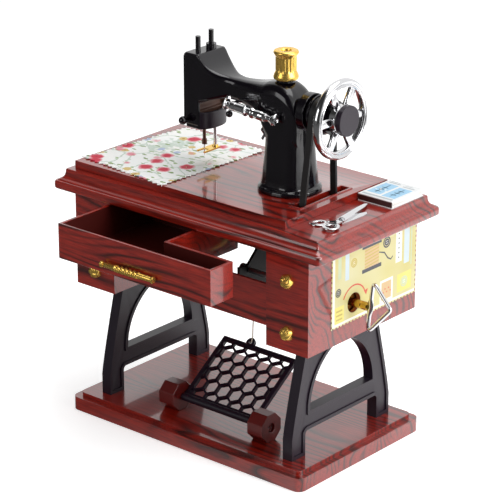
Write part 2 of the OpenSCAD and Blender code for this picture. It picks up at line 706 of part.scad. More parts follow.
spool_x = pillar_x - 2.6;
spool_z = shaft_z + 11.4;
module spool_pin() color("#141114") {
  zcyl(spool_z - 3, spool_z + spool_h - 1.6, [spool_x, head_y], 1.3);
  zcyl(spool_z, spool_z + 0.9, [spool_x, head_y], 4.4);
}
module thread_spool() color("#d8a531") translate([spool_x, head_y, spool_z + 0.9 + 0.1])
  rotate_extrude() polygon([[1.3 + run, 0], [spool_r - 0.5, 0], [spool_r, 0.6], [spool_r, 1.6],
    [4.6, 3.4], [4.3, 4.4], [4.3, spool_h - 3.6], [4.9, spool_h - 2.6], [spool_r, spool_h - 1.8],
    [spool_r, spool_h - 0.4], [spool_r - 0.6, spool_h], [2.6, spool_h], [2.2, spool_h - 0.8],
    [1.3 + run, spool_h - 0.8]]);

// ---------- shaft line ----------

pulley_x = slot_x - belt_w / 2 - 0.9;
pulley_w = belt_w + 1.8;
ring_end = pulley_x - body_gap;
wheel_x = 55.6;
wheel_w = 4;

module hub_rings() color("#141114") difference() {
  union() {
    xcyl(pillar_end - 2, pillar_end + 3, [head_y, shaft_z], 3.4);
    xcyl(pillar_end, pillar_end + 4.2, [head_y, shaft_z], 8.8);
    xcyl(pillar_end + 4.1, ring_end, [head_y, shaft_z], 6.4);
  }
  xcyl(pillar_end - 5, pillar_end + 20, [head_y, shaft_z], shaft_r + run);
}

module shaft_bush() color("#c9a24a") difference() {
  xcyl(head_x[1] - 1.4, head_x[1] + 0.9, [head_y, shaft_z], 2.58);
  xcyl(head_x[1] - 3, head_x[1] + 3, [head_y, shaft_z], shaft_r + run);
}

module main_shaft() color("#b8b8bc")
  xcyl(head_x[1] - 1.9, wheel_x + wheel_w + 1, [head_y, shaft_z], shaft_r);

module needle_crank() color("#b8b8bc") xcyl(head_x[1] - 2.9, head_x[1] - 1.9, [head_y, shaft_z], 4.2);

// Pulley with a groove for the belt, along X from x0
module grooved(x0, yz, r, w) {
  deep = 1.5;
  xcyl(x0, x0 + 0.7, yz, r + 0.6);
  xcyl(x0 + w - 0.7, x0 + w, yz, r + 0.6);
  xcyl(x0, x0 + w, yz, r - deep);
}

module upper_pulley() color("#141114") difference() {
  union() {
    grooved(pulley_x, [head_y, shaft_z], upper_r, pulley_w);
    xcyl(pulley_x + pulley_w - eps, wheel_x - 1.6, [head_y, shaft_z], 7.8);
    xcyl(wheel_x - 1.7, wheel_x, [head_y, shaft_z], 5.2);
  }
  xcyl(pulley_x - 1, wheel_x + 1, [head_y, shaft_z], shaft_r);
}

module handwheel() color("#d9dadd") translate([wheel_x, head_y, shaft_z]) rotate([0, 90, 0]) {
  rim_t = 3.8;
  difference() {
    union() {
      difference() {
        cylinder(h = wheel_w, r = wheel_r, $fn = 96);
        translate([0, 0, -1]) cylinder(h = wheel_w + 2, r = wheel_r - rim_t, $fn = 96);
      }
      cylinder(h = wheel_w, r = 6.6);
      for (i = [0 : wheel_spokes - 1]) rotate(88 + i * 360 / wheel_spokes)
        translate([4, -1.6, 0.8]) cube([wheel_r - rim_t - 3.6, 3.2, wheel_w - 1.6]);
    }
    translate([0, 0, -1]) cylinder(h = wheel_w + 2, r = shaft_r);
  }
}

module wheel_cap() color("#241f26") difference() {
  xcyl(wheel_x + wheel_w, wheel_x + wheel_w + 3, [head_y, shaft_z], 7);
  xcyl(wheel_x + wheel_w - 1, wheel_x + wheel_w + 1, [head_y, shaft_z], shaft_r);
}

function arc_points(mid, r, a0, a1) = [for (i = [0 : 40]) let (a = a0 + (a1 - a0) * i / 40)
  mid + r * [cos(a), sin(a)]];

// Loop round two pulleys of radius rd and ru, their centres dist apart
function belt_loop(rd, ru, dist, skew) = concat(
  arc_points([0, 0], rd, 90 - skew, 270 + skew), arc_points([dist, 0], ru, skew - 90, 90 - skew));

module drive_belt() color("#0c0b0e") {
  d = [head_y - key_y, shaft_z - key_z];
  dist = norm(d);
  inner_u = upper_r - 1.2;
  inner_d = drive_r - 1.2;
  thick = 1.2;
  skew = asin((inner_d - inner_u) / dist);
  translate([slot_x - belt_w / 2, key_y, key_z]) rotate([90, 0, 90]) rotate(atan2(d[1], d[0]))
    linear_extrude(belt_w) difference() {
      polygon(belt_loop(inner_d + thick, inner_u + thick, dist, skew));
      polygon(belt_loop(inner_d, inner_u, dist, skew));
    }
}

// ---------- music movement ----------

plate_y = [-24, 35];
plate_z = [key_z - 14, key_z + 19];
comb_y = [cyl_y, cyl_y + cylinder_l];

governor_y = comb_y[1] - 4.5;
governor_z = key_z - 11.4;
module movement_plate() color("#c9a24a") {
  difference() {
    union() {
      box([plate_x, plate_y[0], plate_z[0]], [plate_x + plate_t, plate_y[1], plate_z[1]]);
      for (y = [comb_y[0] - 1.6 - body_gap, comb_y[1] + body_gap]) {
        box([cyl_axis_x - 3, y, key_z - 3], [plate_x + eps, y + 1.6, key_z + 3]);
      }
      box([barrel_x + 2, governor_y - 1.6, governor_z - 1.6], [plate_x + eps, governor_y + 1.6, governor_z + 1.6]);
    }
    xcyl(plate_x - 1, plate_x + plate_t + 1, [key_y, key_z], key_r + run);
    ycyl(comb_y[0] - 4, comb_y[1] + 4, [cyl_axis_x, key_z], 1 + run);
    xcyl(barrel_x + 1, barrel_x + 3.6, [governor_y, governor_z], 0.8 + run);
    for (y = [-18, 12, 32], z = [key_z - 11, key_z + 14])
      xcyl(plate_x - 1, plate_x + plate_t + 1, [y, z], 1);
  }
}

module spring_barrel() color("#c9a24a") difference() {
  union() {
    xcyl(barrel_x, barrel_x + barrel_l, [key_y, key_z], barrel_r);
    for (i = [0 : 35]) translate([barrel_x, key_y, key_z]) rotate([i * 10, 0, 0])
      translate([0, barrel_r - 0.3, -0.4]) cube([1.6, 1.5, 0.8]);
  }
  xcyl(barrel_x + 1, barrel_x + barrel_l - 1, [key_y, key_z], barrel_r - 1);
  xcyl(barrel_x - 1, barrel_x + barrel_l + 1, [key_y, key_z], key_r + run);
}

module mainspring() color("#5a5a60") {
  turns = 5;
  band = 0.35;
  r0 = key_r + 0.7;
  step = (barrel_r - 1.6 - r0) / turns;
  n = turns * 20;
  inner = [for (i = [0 : n]) let (a = i * 18, r = r0 + step * i / 20) r * [cos(a), sin(a)]];
  outer = [for (i = [n : -1 : 0]) let (a = i * 18, r = r0 + band + step * i / 20) r * [cos(a), sin(a)]];
  translate([barrel_x + 1.6, key_y, key_z]) rotate([90, 0, 90]) linear_extrude(barrel_l - 3.2)
    polygon(concat(inner, outer));
}

module drive_pulley() color("#15121a") difference() {
  union() {
    grooved(pulley_x, [key_y, key_z], drive_r, pulley_w);
    xcyl(pulley_x, barrel_x, [key_y, key_z], 4.4);
  }
  xcyl(pulley_x - 1, barrel_x - 1, [key_y, key_z], shaft_r);
  xcyl(barrel_x - 2.5, barrel_x + 1, [key_y, key_z], key_r + run);
  for (i = [0 : 4]) translate([0, key_y, key_z]) rotate([i * 72, 0, 0])
    xcyl(pulley_x - 1, pulley_x + pulley_w + 1, [0, 9.4], 3);
}

module crank_shaft() color("#b8b8bc") {
  xcyl(crank_x, barrel_x - 3, [key_y, key_z], shaft_r);
  xcyl(crank_x, crank_x + 1.4, [key_y, key_z], 2.4);
  box([crank_x, key_y, key_z - 1.2], [crank_x + 1.4, key_y + crank_r, key_z + 1.2]);
  xcyl(crank_x, crank_x + 1.4, [crank_pin_y, key_z], 1.2);
  xcyl(crank_x - 3, crank_x + eps, [crank_pin_y, key_z], 0.8);
}

module pinned_cylinder() color("#c9a24a") {
  ycyl(comb_y[0], comb_y[1], [cyl_axis_x, key_z], cylinder_r);
  pinion_y = key_y + barrel_r - 2;
  ycyl(pinion_y, comb_y[1] + 2.6, [cyl_axis_x, key_z], 1);
  ycyl(pinion_y, pinion_y + 3.4, [cyl_axis_x, key_z], 2);
  for (i = [0 : 11]) translate([cyl_axis_x, pinion_y, key_z]) rotate([0, i * 30, 0])
    translate([-0.3, 0, 1.9]) cube([0.6, 3.4, 0.7]);
  for (k = [0 : 39]) let (y = comb_y[0] + 1 + (k * 7 % 17) * (cylinder_l - 2) / 16)
    translate([cyl_axis_x, y, key_z]) rotate([0, 25 + k * 137.5 % 320, 0])
      translate([0, 0, cylinder_r - 0.1]) cylinder(h = 0.35, r = 0.25, $fn = 6);
}

comb_gap = 0.6;
module tone_comb() color("#c8c8cc") {
  z0 = key_z + cylinder_r + comb_gap;
  pitch = (cylinder_l - 1) / comb_teeth;
  box([cyl_axis_x - 0.4, comb_y[0] + 0.5, z0 + 6], [cyl_axis_x + 0.4, comb_y[1] - 0.5, plate_z[1]]);
  for (i = [0 : comb_teeth - 1])
    box([cyl_axis_x - 0.4, comb_y[0] + 0.5 + i * pitch, z0],
      [cyl_axis_x + 0.4, comb_y[0] + 0.5 + (i + 0.7) * pitch, z0 + 6 + eps]);
}
module comb_block() color("#9a8a6a")
  box([cyl_axis_x + 0.4, comb_y[0] + 0.5, plate_z[1] - 5], [plate_x, comb_y[1] - 0.5, plate_z[1]]);

module governor() color("#c8c8cc") {
  xcyl(cyl_axis_x - 4, barrel_x + 3.5, [governor_y, governor_z], 0.8);
  xcyl(cyl_axis_x - 3, cyl_axis_x, [governor_y, governor_z], 1.5);
  box([cyl_axis_x + 0.6, governor_y - 2.6, governor_z - 0.3], [cyl_axis_x + 3.4, governor_y + 2.6, governor_z + 0.3]);
}

// ---------- key ----------

key_tip = cab_l / 2 + 8.4;
bow_turn = -10;
bow_half = 11.8;
bow_out = 12.1;
bow_wire = 0.95;
bow_corners = [[key_tip + bow_wire, bow_half], [key_tip + bow_out, 1.4], [key_tip + bow_wire, -bow_half]];

module winding_key() color("#c9a24a") {
  xcyl(barrel_x + 2, key_tip, [key_y, key_z], key_r);
}

// Bent wire between two points in the X-Z plane
module wire(p, q) translate([p[0], 0, p[1]])
  rotate([0, 90 - atan2(q[1] - p[1], q[0] - p[0]), 0]) cylinder(h = norm(q - p), r = bow_wire, $fn = 24);

module key_bow() color("#d9dadd") translate([0, key_y, key_z]) rotate([bow_turn, 0, 0]) {
  for (i = [0 : 2]) {
    wire(bow_corners[i], bow_corners[(i + 1) % 3]);
    translate([bow_corners[i][0], 0, bow_corners[i][1]]) sphere(r = bow_wire + 0.1, $fn = 24);
  }
  translate([key_tip, -0.5, -2.6]) cube([2.4, 1, 5.2]);
}

// ---------- things on the table ----------

cloth_t = 0.5;
cloth_mid = [-41.6, -1.6];
module cloth_mat() color("#e8ece6") translate([cloth_mid[0], cloth_mid[1], bed_z])
  rotate([0, 0, cloth_turn]) linear_extrude(cloth_t) square([cloth_w, cloth_l], center = true);

book_mid = [bed_end + 0.5 + book_w / 2, table_w / 2 - 18.6];
module sewing_book() color("#b8d4e8") translate([book_mid[0] - book_w / 2, book_mid[1] - book_l / 2, tray_z]) {
  cube([book_w, book_l, 0.5]);
  translate([0, 0, 0.5 - eps]) translate([0.5, 0.5, 0]) cube([book_w - 1, book_l - 1, book_h - 1 + 2 * eps]);
  translate([0, 0, book_h - 0.5]) cube([book_w, book_l, 0.5]);
}

pivot = [68.2, -13.8];
rings = [[61.6, -21.6], [69.8, -23.4]];
tips = [[69.6, 2.6], [64, 9.8]];
blade_t = 0.8;
// One half: its blade to the tip, its shank to the ring on the other side
module scissor_half(i) {
  tip = tips[i] - pivot;
  ring = rings[i] - pivot;
  reach = norm(tip);
  grip = norm(ring);
  translate([pivot[0], pivot[1], tray_z + i * blade_t]) {
    cylinder(h = blade_t, r = 2.2);
    rotate(atan2(tip[1], tip[0])) linear_extrude(blade_t)
      polygon([[0, -2], [0, 2], [reach * 0.7, 1.5], [reach, 0], [reach * 0.7, -1.2]]);
    rotate(atan2(ring[1], ring[0])) {
      translate([0, -1, 0]) cube([grip - 3.6, 2, blade_t]);
      translate([grip, 0, 0]) difference() {
        cylinder(h = blade_t, r = 4.3);
        translate([0, 0, -1]) cylinder(h = blade_t + 2, r = 2.5);
      }
    }
  }
}
module scissors_left() color("#d9dadd") difference() {
  scissor_half(0);
  zcyl(tray_z - 1, tray_z + 3, pivot, 0.6 + run);
}
module scissors_right() color("#d9dadd") difference() {
  scissor_half(1);
  zcyl(tray_z - 1, tray_z + 3, pivot, 0.6 + run);
}
module scissors_screw() color("#b8b8bc") {
  zcyl(tray_z, tray_z + 2 * blade_t, pivot, 0.6);
  zcyl(tray_z + 2 * blade_t, tray_z + 2 * blade_t + 0.6, pivot, 1.3);
}

// ---------- the part ----------

base_plinth();
left_leg_frame();
right_leg_frame();
base_cover();
leg_screws();
left_treadle_post();
right_treadle_post();
treadle_grille();
treadle_axle();
treadle_string();
cabinet_shell();
left_bottom_cover();
right_bottom_cover();
left_drawer_runner();
right_drawer_runner();
block_knobs();
side_label();
drawer_tray();
drawer_handle();
table_top();
machine_bed();
front_body_shell();
back_body_shell();
pillar_screws();
face_plate();
top_pins();
needle_bar();
needle();
presser_bar();
presser_foot();
tension_knob();
bobbin_rod();
rod_ball();
thumb_lever();
spool_pin();
thread_spool();
hub_rings();
shaft_bush();
main_shaft();
needle_crank();
upper_pulley();
handwheel();
wheel_cap();
drive_belt();
movement_plate();
spring_barrel();
mainspring();
drive_pulley();
crank_shaft();
pinned_cylinder();
tone_comb();
comb_block();
governor();
winding_key();
key_bow();
cloth_mat();
sewing_book();
scissors_left();
scissors_right();
scissors_screw();
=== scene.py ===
from math import atan2, cos, exp, hypot, pi, radians, sin, tan

import bmesh
import bpy
from mathutils import Matrix, Vector
from mathutils.geometry import tessellate_polygon


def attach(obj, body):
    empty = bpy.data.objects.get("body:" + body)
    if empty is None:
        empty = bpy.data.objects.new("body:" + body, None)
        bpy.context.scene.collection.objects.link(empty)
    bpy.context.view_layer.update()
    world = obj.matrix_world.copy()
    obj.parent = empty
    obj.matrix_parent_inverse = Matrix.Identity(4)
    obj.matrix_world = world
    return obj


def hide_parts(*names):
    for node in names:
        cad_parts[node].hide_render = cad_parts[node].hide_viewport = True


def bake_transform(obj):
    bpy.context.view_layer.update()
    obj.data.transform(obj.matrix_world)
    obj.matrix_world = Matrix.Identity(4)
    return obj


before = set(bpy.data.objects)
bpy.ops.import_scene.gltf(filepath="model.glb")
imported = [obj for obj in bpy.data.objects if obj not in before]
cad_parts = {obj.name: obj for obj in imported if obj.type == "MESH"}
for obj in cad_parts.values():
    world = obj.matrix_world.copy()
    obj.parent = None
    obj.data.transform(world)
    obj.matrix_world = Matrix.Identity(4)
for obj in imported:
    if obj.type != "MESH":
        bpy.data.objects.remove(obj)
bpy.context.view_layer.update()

scene = bpy.context.scene
mm = 0.001
print("frame loaded")


# small helpers

def linear(hexColour):
    # sRGB hex to linear RGBA
    parts = [int(hexColour[i:i + 2], 16) / 255 for i in (1, 3, 5)]
    return [c / 12.92 if c <= 0.04045 else ((c + 0.055) / 1.055) ** 2.4 for c in parts] + [1]


def addNode(tree, kind, sockets=None, stops=None, **settings):
    # a kind without Node in it is a shader node; sockets maps an input's name or number to a value, an output,
    # or a node for its first output; stops are a ramp's places and their colours or greys
    node = tree.nodes.new(kind if "Node" in kind else "ShaderNode" + kind)
    for key, value in settings.items():
        setattr(node, key, value)
    for key, value in (sockets or {}).items():
        if isinstance(value, bpy.types.Node):
            value = value.outputs[0]
        if isinstance(value, bpy.types.NodeSocket):
            tree.links.new(value, node.inputs[key])
        else:
            node.inputs[key].default_value = value
    if stops:
        elements = node.color_ramp.elements
        while len(elements) < len(stops):
            elements.new(0.5)
        for element, (place, colour) in zip(elements, stops):
            element.position = place
            element.color = linear(colour) if isinstance(colour, str) else [colour] * 3 + [1]
    return node


def newMaterial(name, colour="#808080", metallic=0, roughness=0.4, **extra):
    material = bpy.data.materials.new(name)
    material.use_nodes = True
    shader = material.node_tree.nodes["Principled BSDF"]
    shader.inputs["Base Color"].default_value = linear(colour)
    shader.inputs["Metallic"].default_value = metallic
    shader.inputs["Roughness"].default_value = roughness
    for key, value in extra.items():
        shader.inputs[key.replace("_", " ")].default_value = value
    return material


def link(material, source, socket):
    output = source.outputs[0] if isinstance(source, bpy.types.Node) else source
    material.node_tree.links.new(output, material.node_tree.nodes["Principled BSDF"].inputs[socket])


def objectCoords(material, scale=(1, 1, 1), move=(0, 0, 0)):
    # object coordinates in millimetres
    tree = material.node_tree
    coords = addNode(tree, "TexCoord")
    return addNode(tree, "Mapping", {
        "Vector": coords.outputs["Object"], "Scale": [s / mm for s in scale], "Location": move})


# materials

def mahoganyPlastic():
    # moulded ABS under a printed wood-grain film and clear lacquer: dark flowing lines, wet gloss
    look = {"red": "#a02312", "redDeep": "#78130b", "line": "#220504", "ringMm": 3.8, "wobbleMm": 16}
    material = newMaterial("mahogany film on moulded ABS", look["red"], 0, 0.3,
                           Coat_Weight=1, Coat_Roughness=0.06, Coat_IOR=1.52)
    tree = material.node_tree
    flat = objectCoords(material, (0.22, 1, 1))
    wobble = addNode(tree, "TexNoise", {"Vector": flat, "Scale": 0.038, "Detail": 2, "Roughness": 0.45})
    centre = objectCoords(material, (0, 1, 1), move=(0, 96, -28))
    distance = addNode(tree, "VectorMath", {0: centre}, operation="LENGTH").outputs["Value"]
    # rings round one centre line, pushed about by the wobble
    field = addNode(tree, "Math", {0: wobble, 1: look["wobbleMm"] * 2, 2: distance}, operation="MULTIPLY_ADD")
    count = addNode(tree, "Math", {0: field, 1: look["ringMm"]}, operation="DIVIDE")
    rings = addNode(tree, "Math", {0: count}, operation="FRACT")
    line = addNode(tree, "ValToRGB", {"Fac": rings}, [(0, 1), (0.14, 0.75), (0.32, 0.12), (0.74, 0), (1, 0.8)])
    strength = addNode(tree, "TexNoise", {"Vector": flat, "Scale": 0.055, "Detail": 1})
    patchy = addNode(tree, "ValToRGB", {"Fac": strength}, [(0.4, 0.12), (0.56, 0.95)])
    shown = addNode(tree, "Math", {0: line, 1: patchy}, operation="MULTIPLY")
    fine = objectCoords(material, (0.12, 1.6, 1.6))
    streaks = addNode(tree, "TexNoise", {"Vector": fine, "Scale": 0.9, "Detail": 3})
    base = addNode(tree, "ValToRGB", {"Fac": streaks}, [(0.3, look["redDeep"]), (0.65, look["red"])])
    mix = addNode(tree, "Mix", {"A": base, "B": linear(look["line"]), "Factor": shown}, data_type="RGBA")
    link(material, mix.outputs["Result"], "Base Color")
    return material


def satinPlastic(name, colour, roughness, grainMm, depthMm):
    # moulded ABS from a spark-eroded tool: fine dull grain
    material = newMaterial(name, colour, 0, roughness)
    tree = material.node_tree
    noise = addNode(tree, "TexNoise", {"Vector": objectCoords(material), "Scale": 1 / grainMm, "Detail": 2})
    grain = addNode(tree, "Bump", {"Height": noise, "Distance": depthMm * mm, "Strength": 0.5})
    link(material, grain, "Normal")
    return material


mats = {
    "mahogany": mahoganyPlastic(),
    # solid red ABS of the small mouldings, glossy as it leaves a polished tool
    "redAbs": newMaterial("dark red moulded ABS", "#5e1410", 0, 0.28, Coat_Weight=0.4, Coat_Roughness=0.1),
    "satinBlack": satinPlastic("black spark-eroded ABS", "#1d1220", 0.36, 0.5, 0.03),
    # piano-black ABS, near mirror-like, with a trace of purple from the dye
    "glossBlack": newMaterial("polished black ABS", "#0a060d", 0, 0.16, Coat_Weight=0.3, Coat_Roughness=0.06),
    # painted shade: near-black standing for the shadow inside the drawer bay
    "bayShadeBlack": newMaterial("black painted as shade in the drawer bay", "#070608", 0, 0.65),
    "drawerInside": newMaterial("dark red unlacquered ABS", "#4a110c", 0, 0.4),
    "chrome": newMaterial("chrome on polished ABS", "#e0e0e2", 1, 0.07),
    "steel": newMaterial("turned mild steel", "#a2a3a6", 1, 0.3),
    "gold": newMaterial("gold flash on polished ABS", "#f7cc68", 1, 0.16),
    "softGold": newMaterial("gold lacquer on moulded ABS", "#fbcf68", 0.88, 0.27),
    # painted reflection: brown standing for the cloth reflected inside the machine's cup
    "cupReflectionBrown": newMaterial("brown painted as the cloth's reflection in the cup", "#6a4c40", 0, 0.4),
    "brass": newMaterial("turned brass", "#c39b45", 1, 0.24),
    "belt": newMaterial("black rubber belt", "#0d0c0d", 0, 0.45),
    "string": newMaterial("twisted cotton string", "#dccbb8", 0, 0.9),
    "bronze": newMaterial("darkened steel wire", "#75574a", 1, 0.3),
}
print("materials made")


# making meshes

def bands(sides, rings):
    # quads between neighbouring rings of points
    return [(r * sides + k, r * sides + (k + 1) % sides, (r + 1) * sides + (k + 1) % sides, (r + 1) * sides + k)
            for r in range(rings - 1) for k in range(sides)]


def caps(sides, rings):
    # the first and last ring as end faces
    return [tuple(range(sides)), tuple(range((rings - 1) * sides, rings * sides))]


def moved(x, y, z):
    return Matrix.Translation((x, y, z))


def turned(degrees, axis):
    return Matrix.Rotation(radians(degrees), 4, axis)


def newPiece(name, verts, faces, material, smooth=30, millimetres=True):
    mesh = bpy.data.meshes.new(name)
    mesh.from_pydata([Vector(v) * (mm if millimetres else 1) for v in verts], [], faces)
    return dressPiece(bpy.data.objects.new(name, mesh), material, smooth)


def fromShape(name, shape):
    mesh = bpy.data.meshes.new(name)
    shape.to_mesh(mesh)
    shape.free()
    return bpy.data.objects.new(name, mesh)


def dressPiece(piece, material, smooth=30, recalc=True):
    scene.collection.objects.link(piece)
    mesh = piece.data
    if recalc:
        shape = bmesh.new()
        shape.from_mesh(mesh)
        bmesh.ops.remove_doubles(shape, verts=shape.verts, dist=1e-7)
        bmesh.ops.recalc_face_normals(shape, faces=shape.faces)
        shape.to_mesh(mesh)
        shape.free()
    mesh.materials.append(mats[material] if isinstance(material, str) else material)
    mesh.shade_smooth()
    mesh.set_sharp_from_angle(angle=radians(smooth))
    return piece


def bake(piece):
    # modifiers into a plain mesh
    depsgraph = bpy.context.evaluated_depsgraph_get()
    mesh = bpy.data.meshes.new_from_object(piece.evaluated_get(depsgraph))
    mesh.name = piece.name
    piece.modifiers.clear()
    piece.data = mesh
    return piece


def settle(piece, body, slot, *nodes):
    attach(piece, body)
    if nodes:
        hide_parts(*nodes)
    return piece


def bevelled(piece, radiusMm, segments=2, outer="MITER_SHARP"):
    step = piece.modifiers.new("edges", "BEVEL")
    step.width = radiusMm * mm
    step.segments = segments
    step.limit_method = "ANGLE"
    step.angle_limit = radians(40)
    step.miter_outer = outer
    step.harden_normals = True
    return bake(piece)


def mouldedCopy(name, node, material, radiusMm, body, slot):
    # the CAD solid with its sharp edges rounded, as a moulding leaves the tool
    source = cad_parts[node]
    shape = bmesh.new()
    shape.from_mesh(source.data)
    bmesh.ops.remove_doubles(shape, verts=shape.verts, dist=2e-6)
    bmesh.ops.dissolve_limit(shape, angle_limit=radians(0.6), verts=shape.verts, edges=shape.edges)
    piece = dressPiece(fromShape(name, shape), material, recalc=False)
    bevelled(piece, radiusMm, 3, outer="MITER_ARC")
    return settle(piece, body, slot, node)


def revolve(profile, place, material, name, sides=64, smooth=35):
    # profile of (radius, height) points turned round the Z axis of place
    verts = []
    for radius, height in profile:
        for k in range(sides):
            a = 2 * pi * k / sides
            verts.append(place @ Vector((radius * cos(a), radius * sin(a), height)))
    faces = bands(sides, len(profile))
    if profile[0] != profile[-1]:
        faces += [cap for cap, point in zip(caps(sides, len(profile)), (profile[0], profile[-1])) if point[0] > 1e-4]
    return newPiece(name, verts, faces, material, smooth)


def rodShape(radius, length):
    return [(0, 0), (radius, 0), (radius, length), (0, length)]


def alongX(x, y, z):
    # a frame whose Z axis is the world's X
    return moved(x, y, z) @ turned(90, "Y")


def tubeMesh(route, radius, sides=16, closed=False):
    # round wire along a smooth route of points
    points = [Vector(p) for p in route]
    count = len(points)
    verts = []
    normal = None
    for i, point in enumerate(points):
        ahead = points[(i + 1) % count] if closed or i < count - 1 else point
        back = points[i - 1] if closed or i > 0 else point
        tangent = (ahead - back).normalized()
        if normal is None:
            normal = tangent.orthogonal().normalized()
        normal = (normal - tangent * normal.dot(tangent)).normalized()
        side = tangent.cross(normal)
        for k in range(sides):
            a = 2 * pi * k / sides
            verts.append(point + (normal * cos(a) + side * sin(a)) * radius)
    if not closed:
        return verts, bands(sides, count) + caps(sides, count)
    return verts, [tuple(v % (count * sides) for v in face) for face in bands(sides, count + 1)]


def wire(name, route, bend, steps, radius, sides, material):
    # round wire with a bend at each inner corner of the route
    return newPiece(name, *tubeMesh(roundedRoute(route, bend, steps, False), radius, sides), material, 60)


def roundedRoute(corners, radius, steps=8, closed=True):
    # straight runs with a bend of that radius at each corner
    points = [Vector(p) for p in corners]
    route = []
    for i, corner in enumerate(points):
        if not closed and i in (0, len(points) - 1):
            route.append(corner)
            continue
        before = (points[i - 1] - corner).normalized()
        after = (points[(i + 1) % len(points)] - corner).normalized()
        half = before.angle(after) / 2
        reach = radius / tan(half)
        start, end = corner + before * reach, corner + after * reach
        for k in range(steps + 1):
            t = k / steps
            route.append(start * (1 - t) ** 2 + corner * 2 * t * (1 - t) + end * t ** 2)
    return route


def prism(outline, z0, z1, edge=0):
    # upright prism of an outline, its top edge chamfered by edge
    n = len(outline)
    centre = sum((Vector(p).to_2d() for p in outline), Vector((0, 0))) / n
    rings = [(z0, 0), (z1 - edge, 0)] + ([(z1, edge)] if edge else [])
    verts = []
    for z, inset in rings:
        for p in outline:
            p = Vector(p).to_2d()
            verts.append((*(p - (p - centre).normalized() * inset), z))
    return verts, caps(n, len(rings)) + bands(n, len(rings))


def arc(x, y, radiusX, radiusY, degrees):
    return [(x + radiusX * cos(radians(a)), y + radiusY * sin(radians(a))) for a in degrees]


def roundRect(halfX, halfY, radius, steps=6, centre=(0, 0)):
    points = []
    for sx, sy, start in ((1, 1, 0), (-1, 1, 90), (-1, -1, 180), (1, -1, 270)):
        points += arc(centre[0] + sx * (halfX - radius), centre[1] + sy * (halfY - radius), radius, radius,
                      [start + 90 * k / steps for k in range(steps + 1)])
    return points


def merged(name, pieces):
    # several made pieces as one mesh
    shape = bmesh.new()
    slots = []
    for piece in pieces:
        before = len(shape.faces)
        shape.from_mesh(piece.data)
        shape.faces.ensure_lookup_table()
        local = []
        for material in piece.data.materials:
            if material not in slots:
                slots.append(material)
            local.append(slots.index(material))
        for face in shape.faces[before:]:
            face.material_index = local[face.material_index] if local else 0
    for piece in pieces:
        bpy.data.objects.remove(piece)
    one = fromShape(name, shape)
    for material in slots:
        one.data.materials.append(material)
    scene.collection.objects.link(one)
    return one


# machine casting

def loftSections(sections, turn):
    # sections are rings of points; turn maps (a, b, along) to x, y, z
    n = len(sections[0][1])
    verts = [turn(a, b, along) for along, ring in sections for a, b in ring]
    return verts, bands(n, len(sections)) + caps(n, len(sections))


def spread(table, steps):
    # smooth in-between rows of a table of numbers
    rows = []
    for i in range(len(table) - 1):
        p0, p1, p2, p3 = (table[max(0, min(len(table) - 1, i + j))] for j in (-1, 0, 1, 2))
        for k in range(steps):
            t = k / steps
            row = []
            for a, b, c, d in zip(p0, p1, p2, p3):
                lo, hi = min(b, c), max(b, c)
                value = 0.5 * ((2 * b) + (c - a) * t + (2 * a - 5 * b + 4 * c - d) * t * t
                               + (3 * b - a - 3 * c + d) * t ** 3)
                row.append(max(lo, min(hi, value)))
            rows.append(row)
    return rows + [list(table[-1])]


def cutWith(piece, cutter):
    step = piece.modifiers.new("cut", "BOOLEAN")
    step.operation = "DIFFERENCE"
    step.object = cutter
    step.solver = "EXACT"
    bake(piece)
    bpy.data.objects.remove(cutter)


machine = {"y": -2, "headX": -21.5, "headHalf": (4.25, 9.65), "headTop": 179.15, "headLow": 145.2,
           "openingX": (-19.6, -12), "openingZ": (147.4, 155.8), "cupBack": -25.2, "cupHalf": 9.4,
           "cupZ": (143.6, 151.9), "hollowX": -18.4, "hollowSize": (4, 8.4), "hollowZ": (146.4, 156),
           "voxelMm": 0.37, "smoothing": 4}


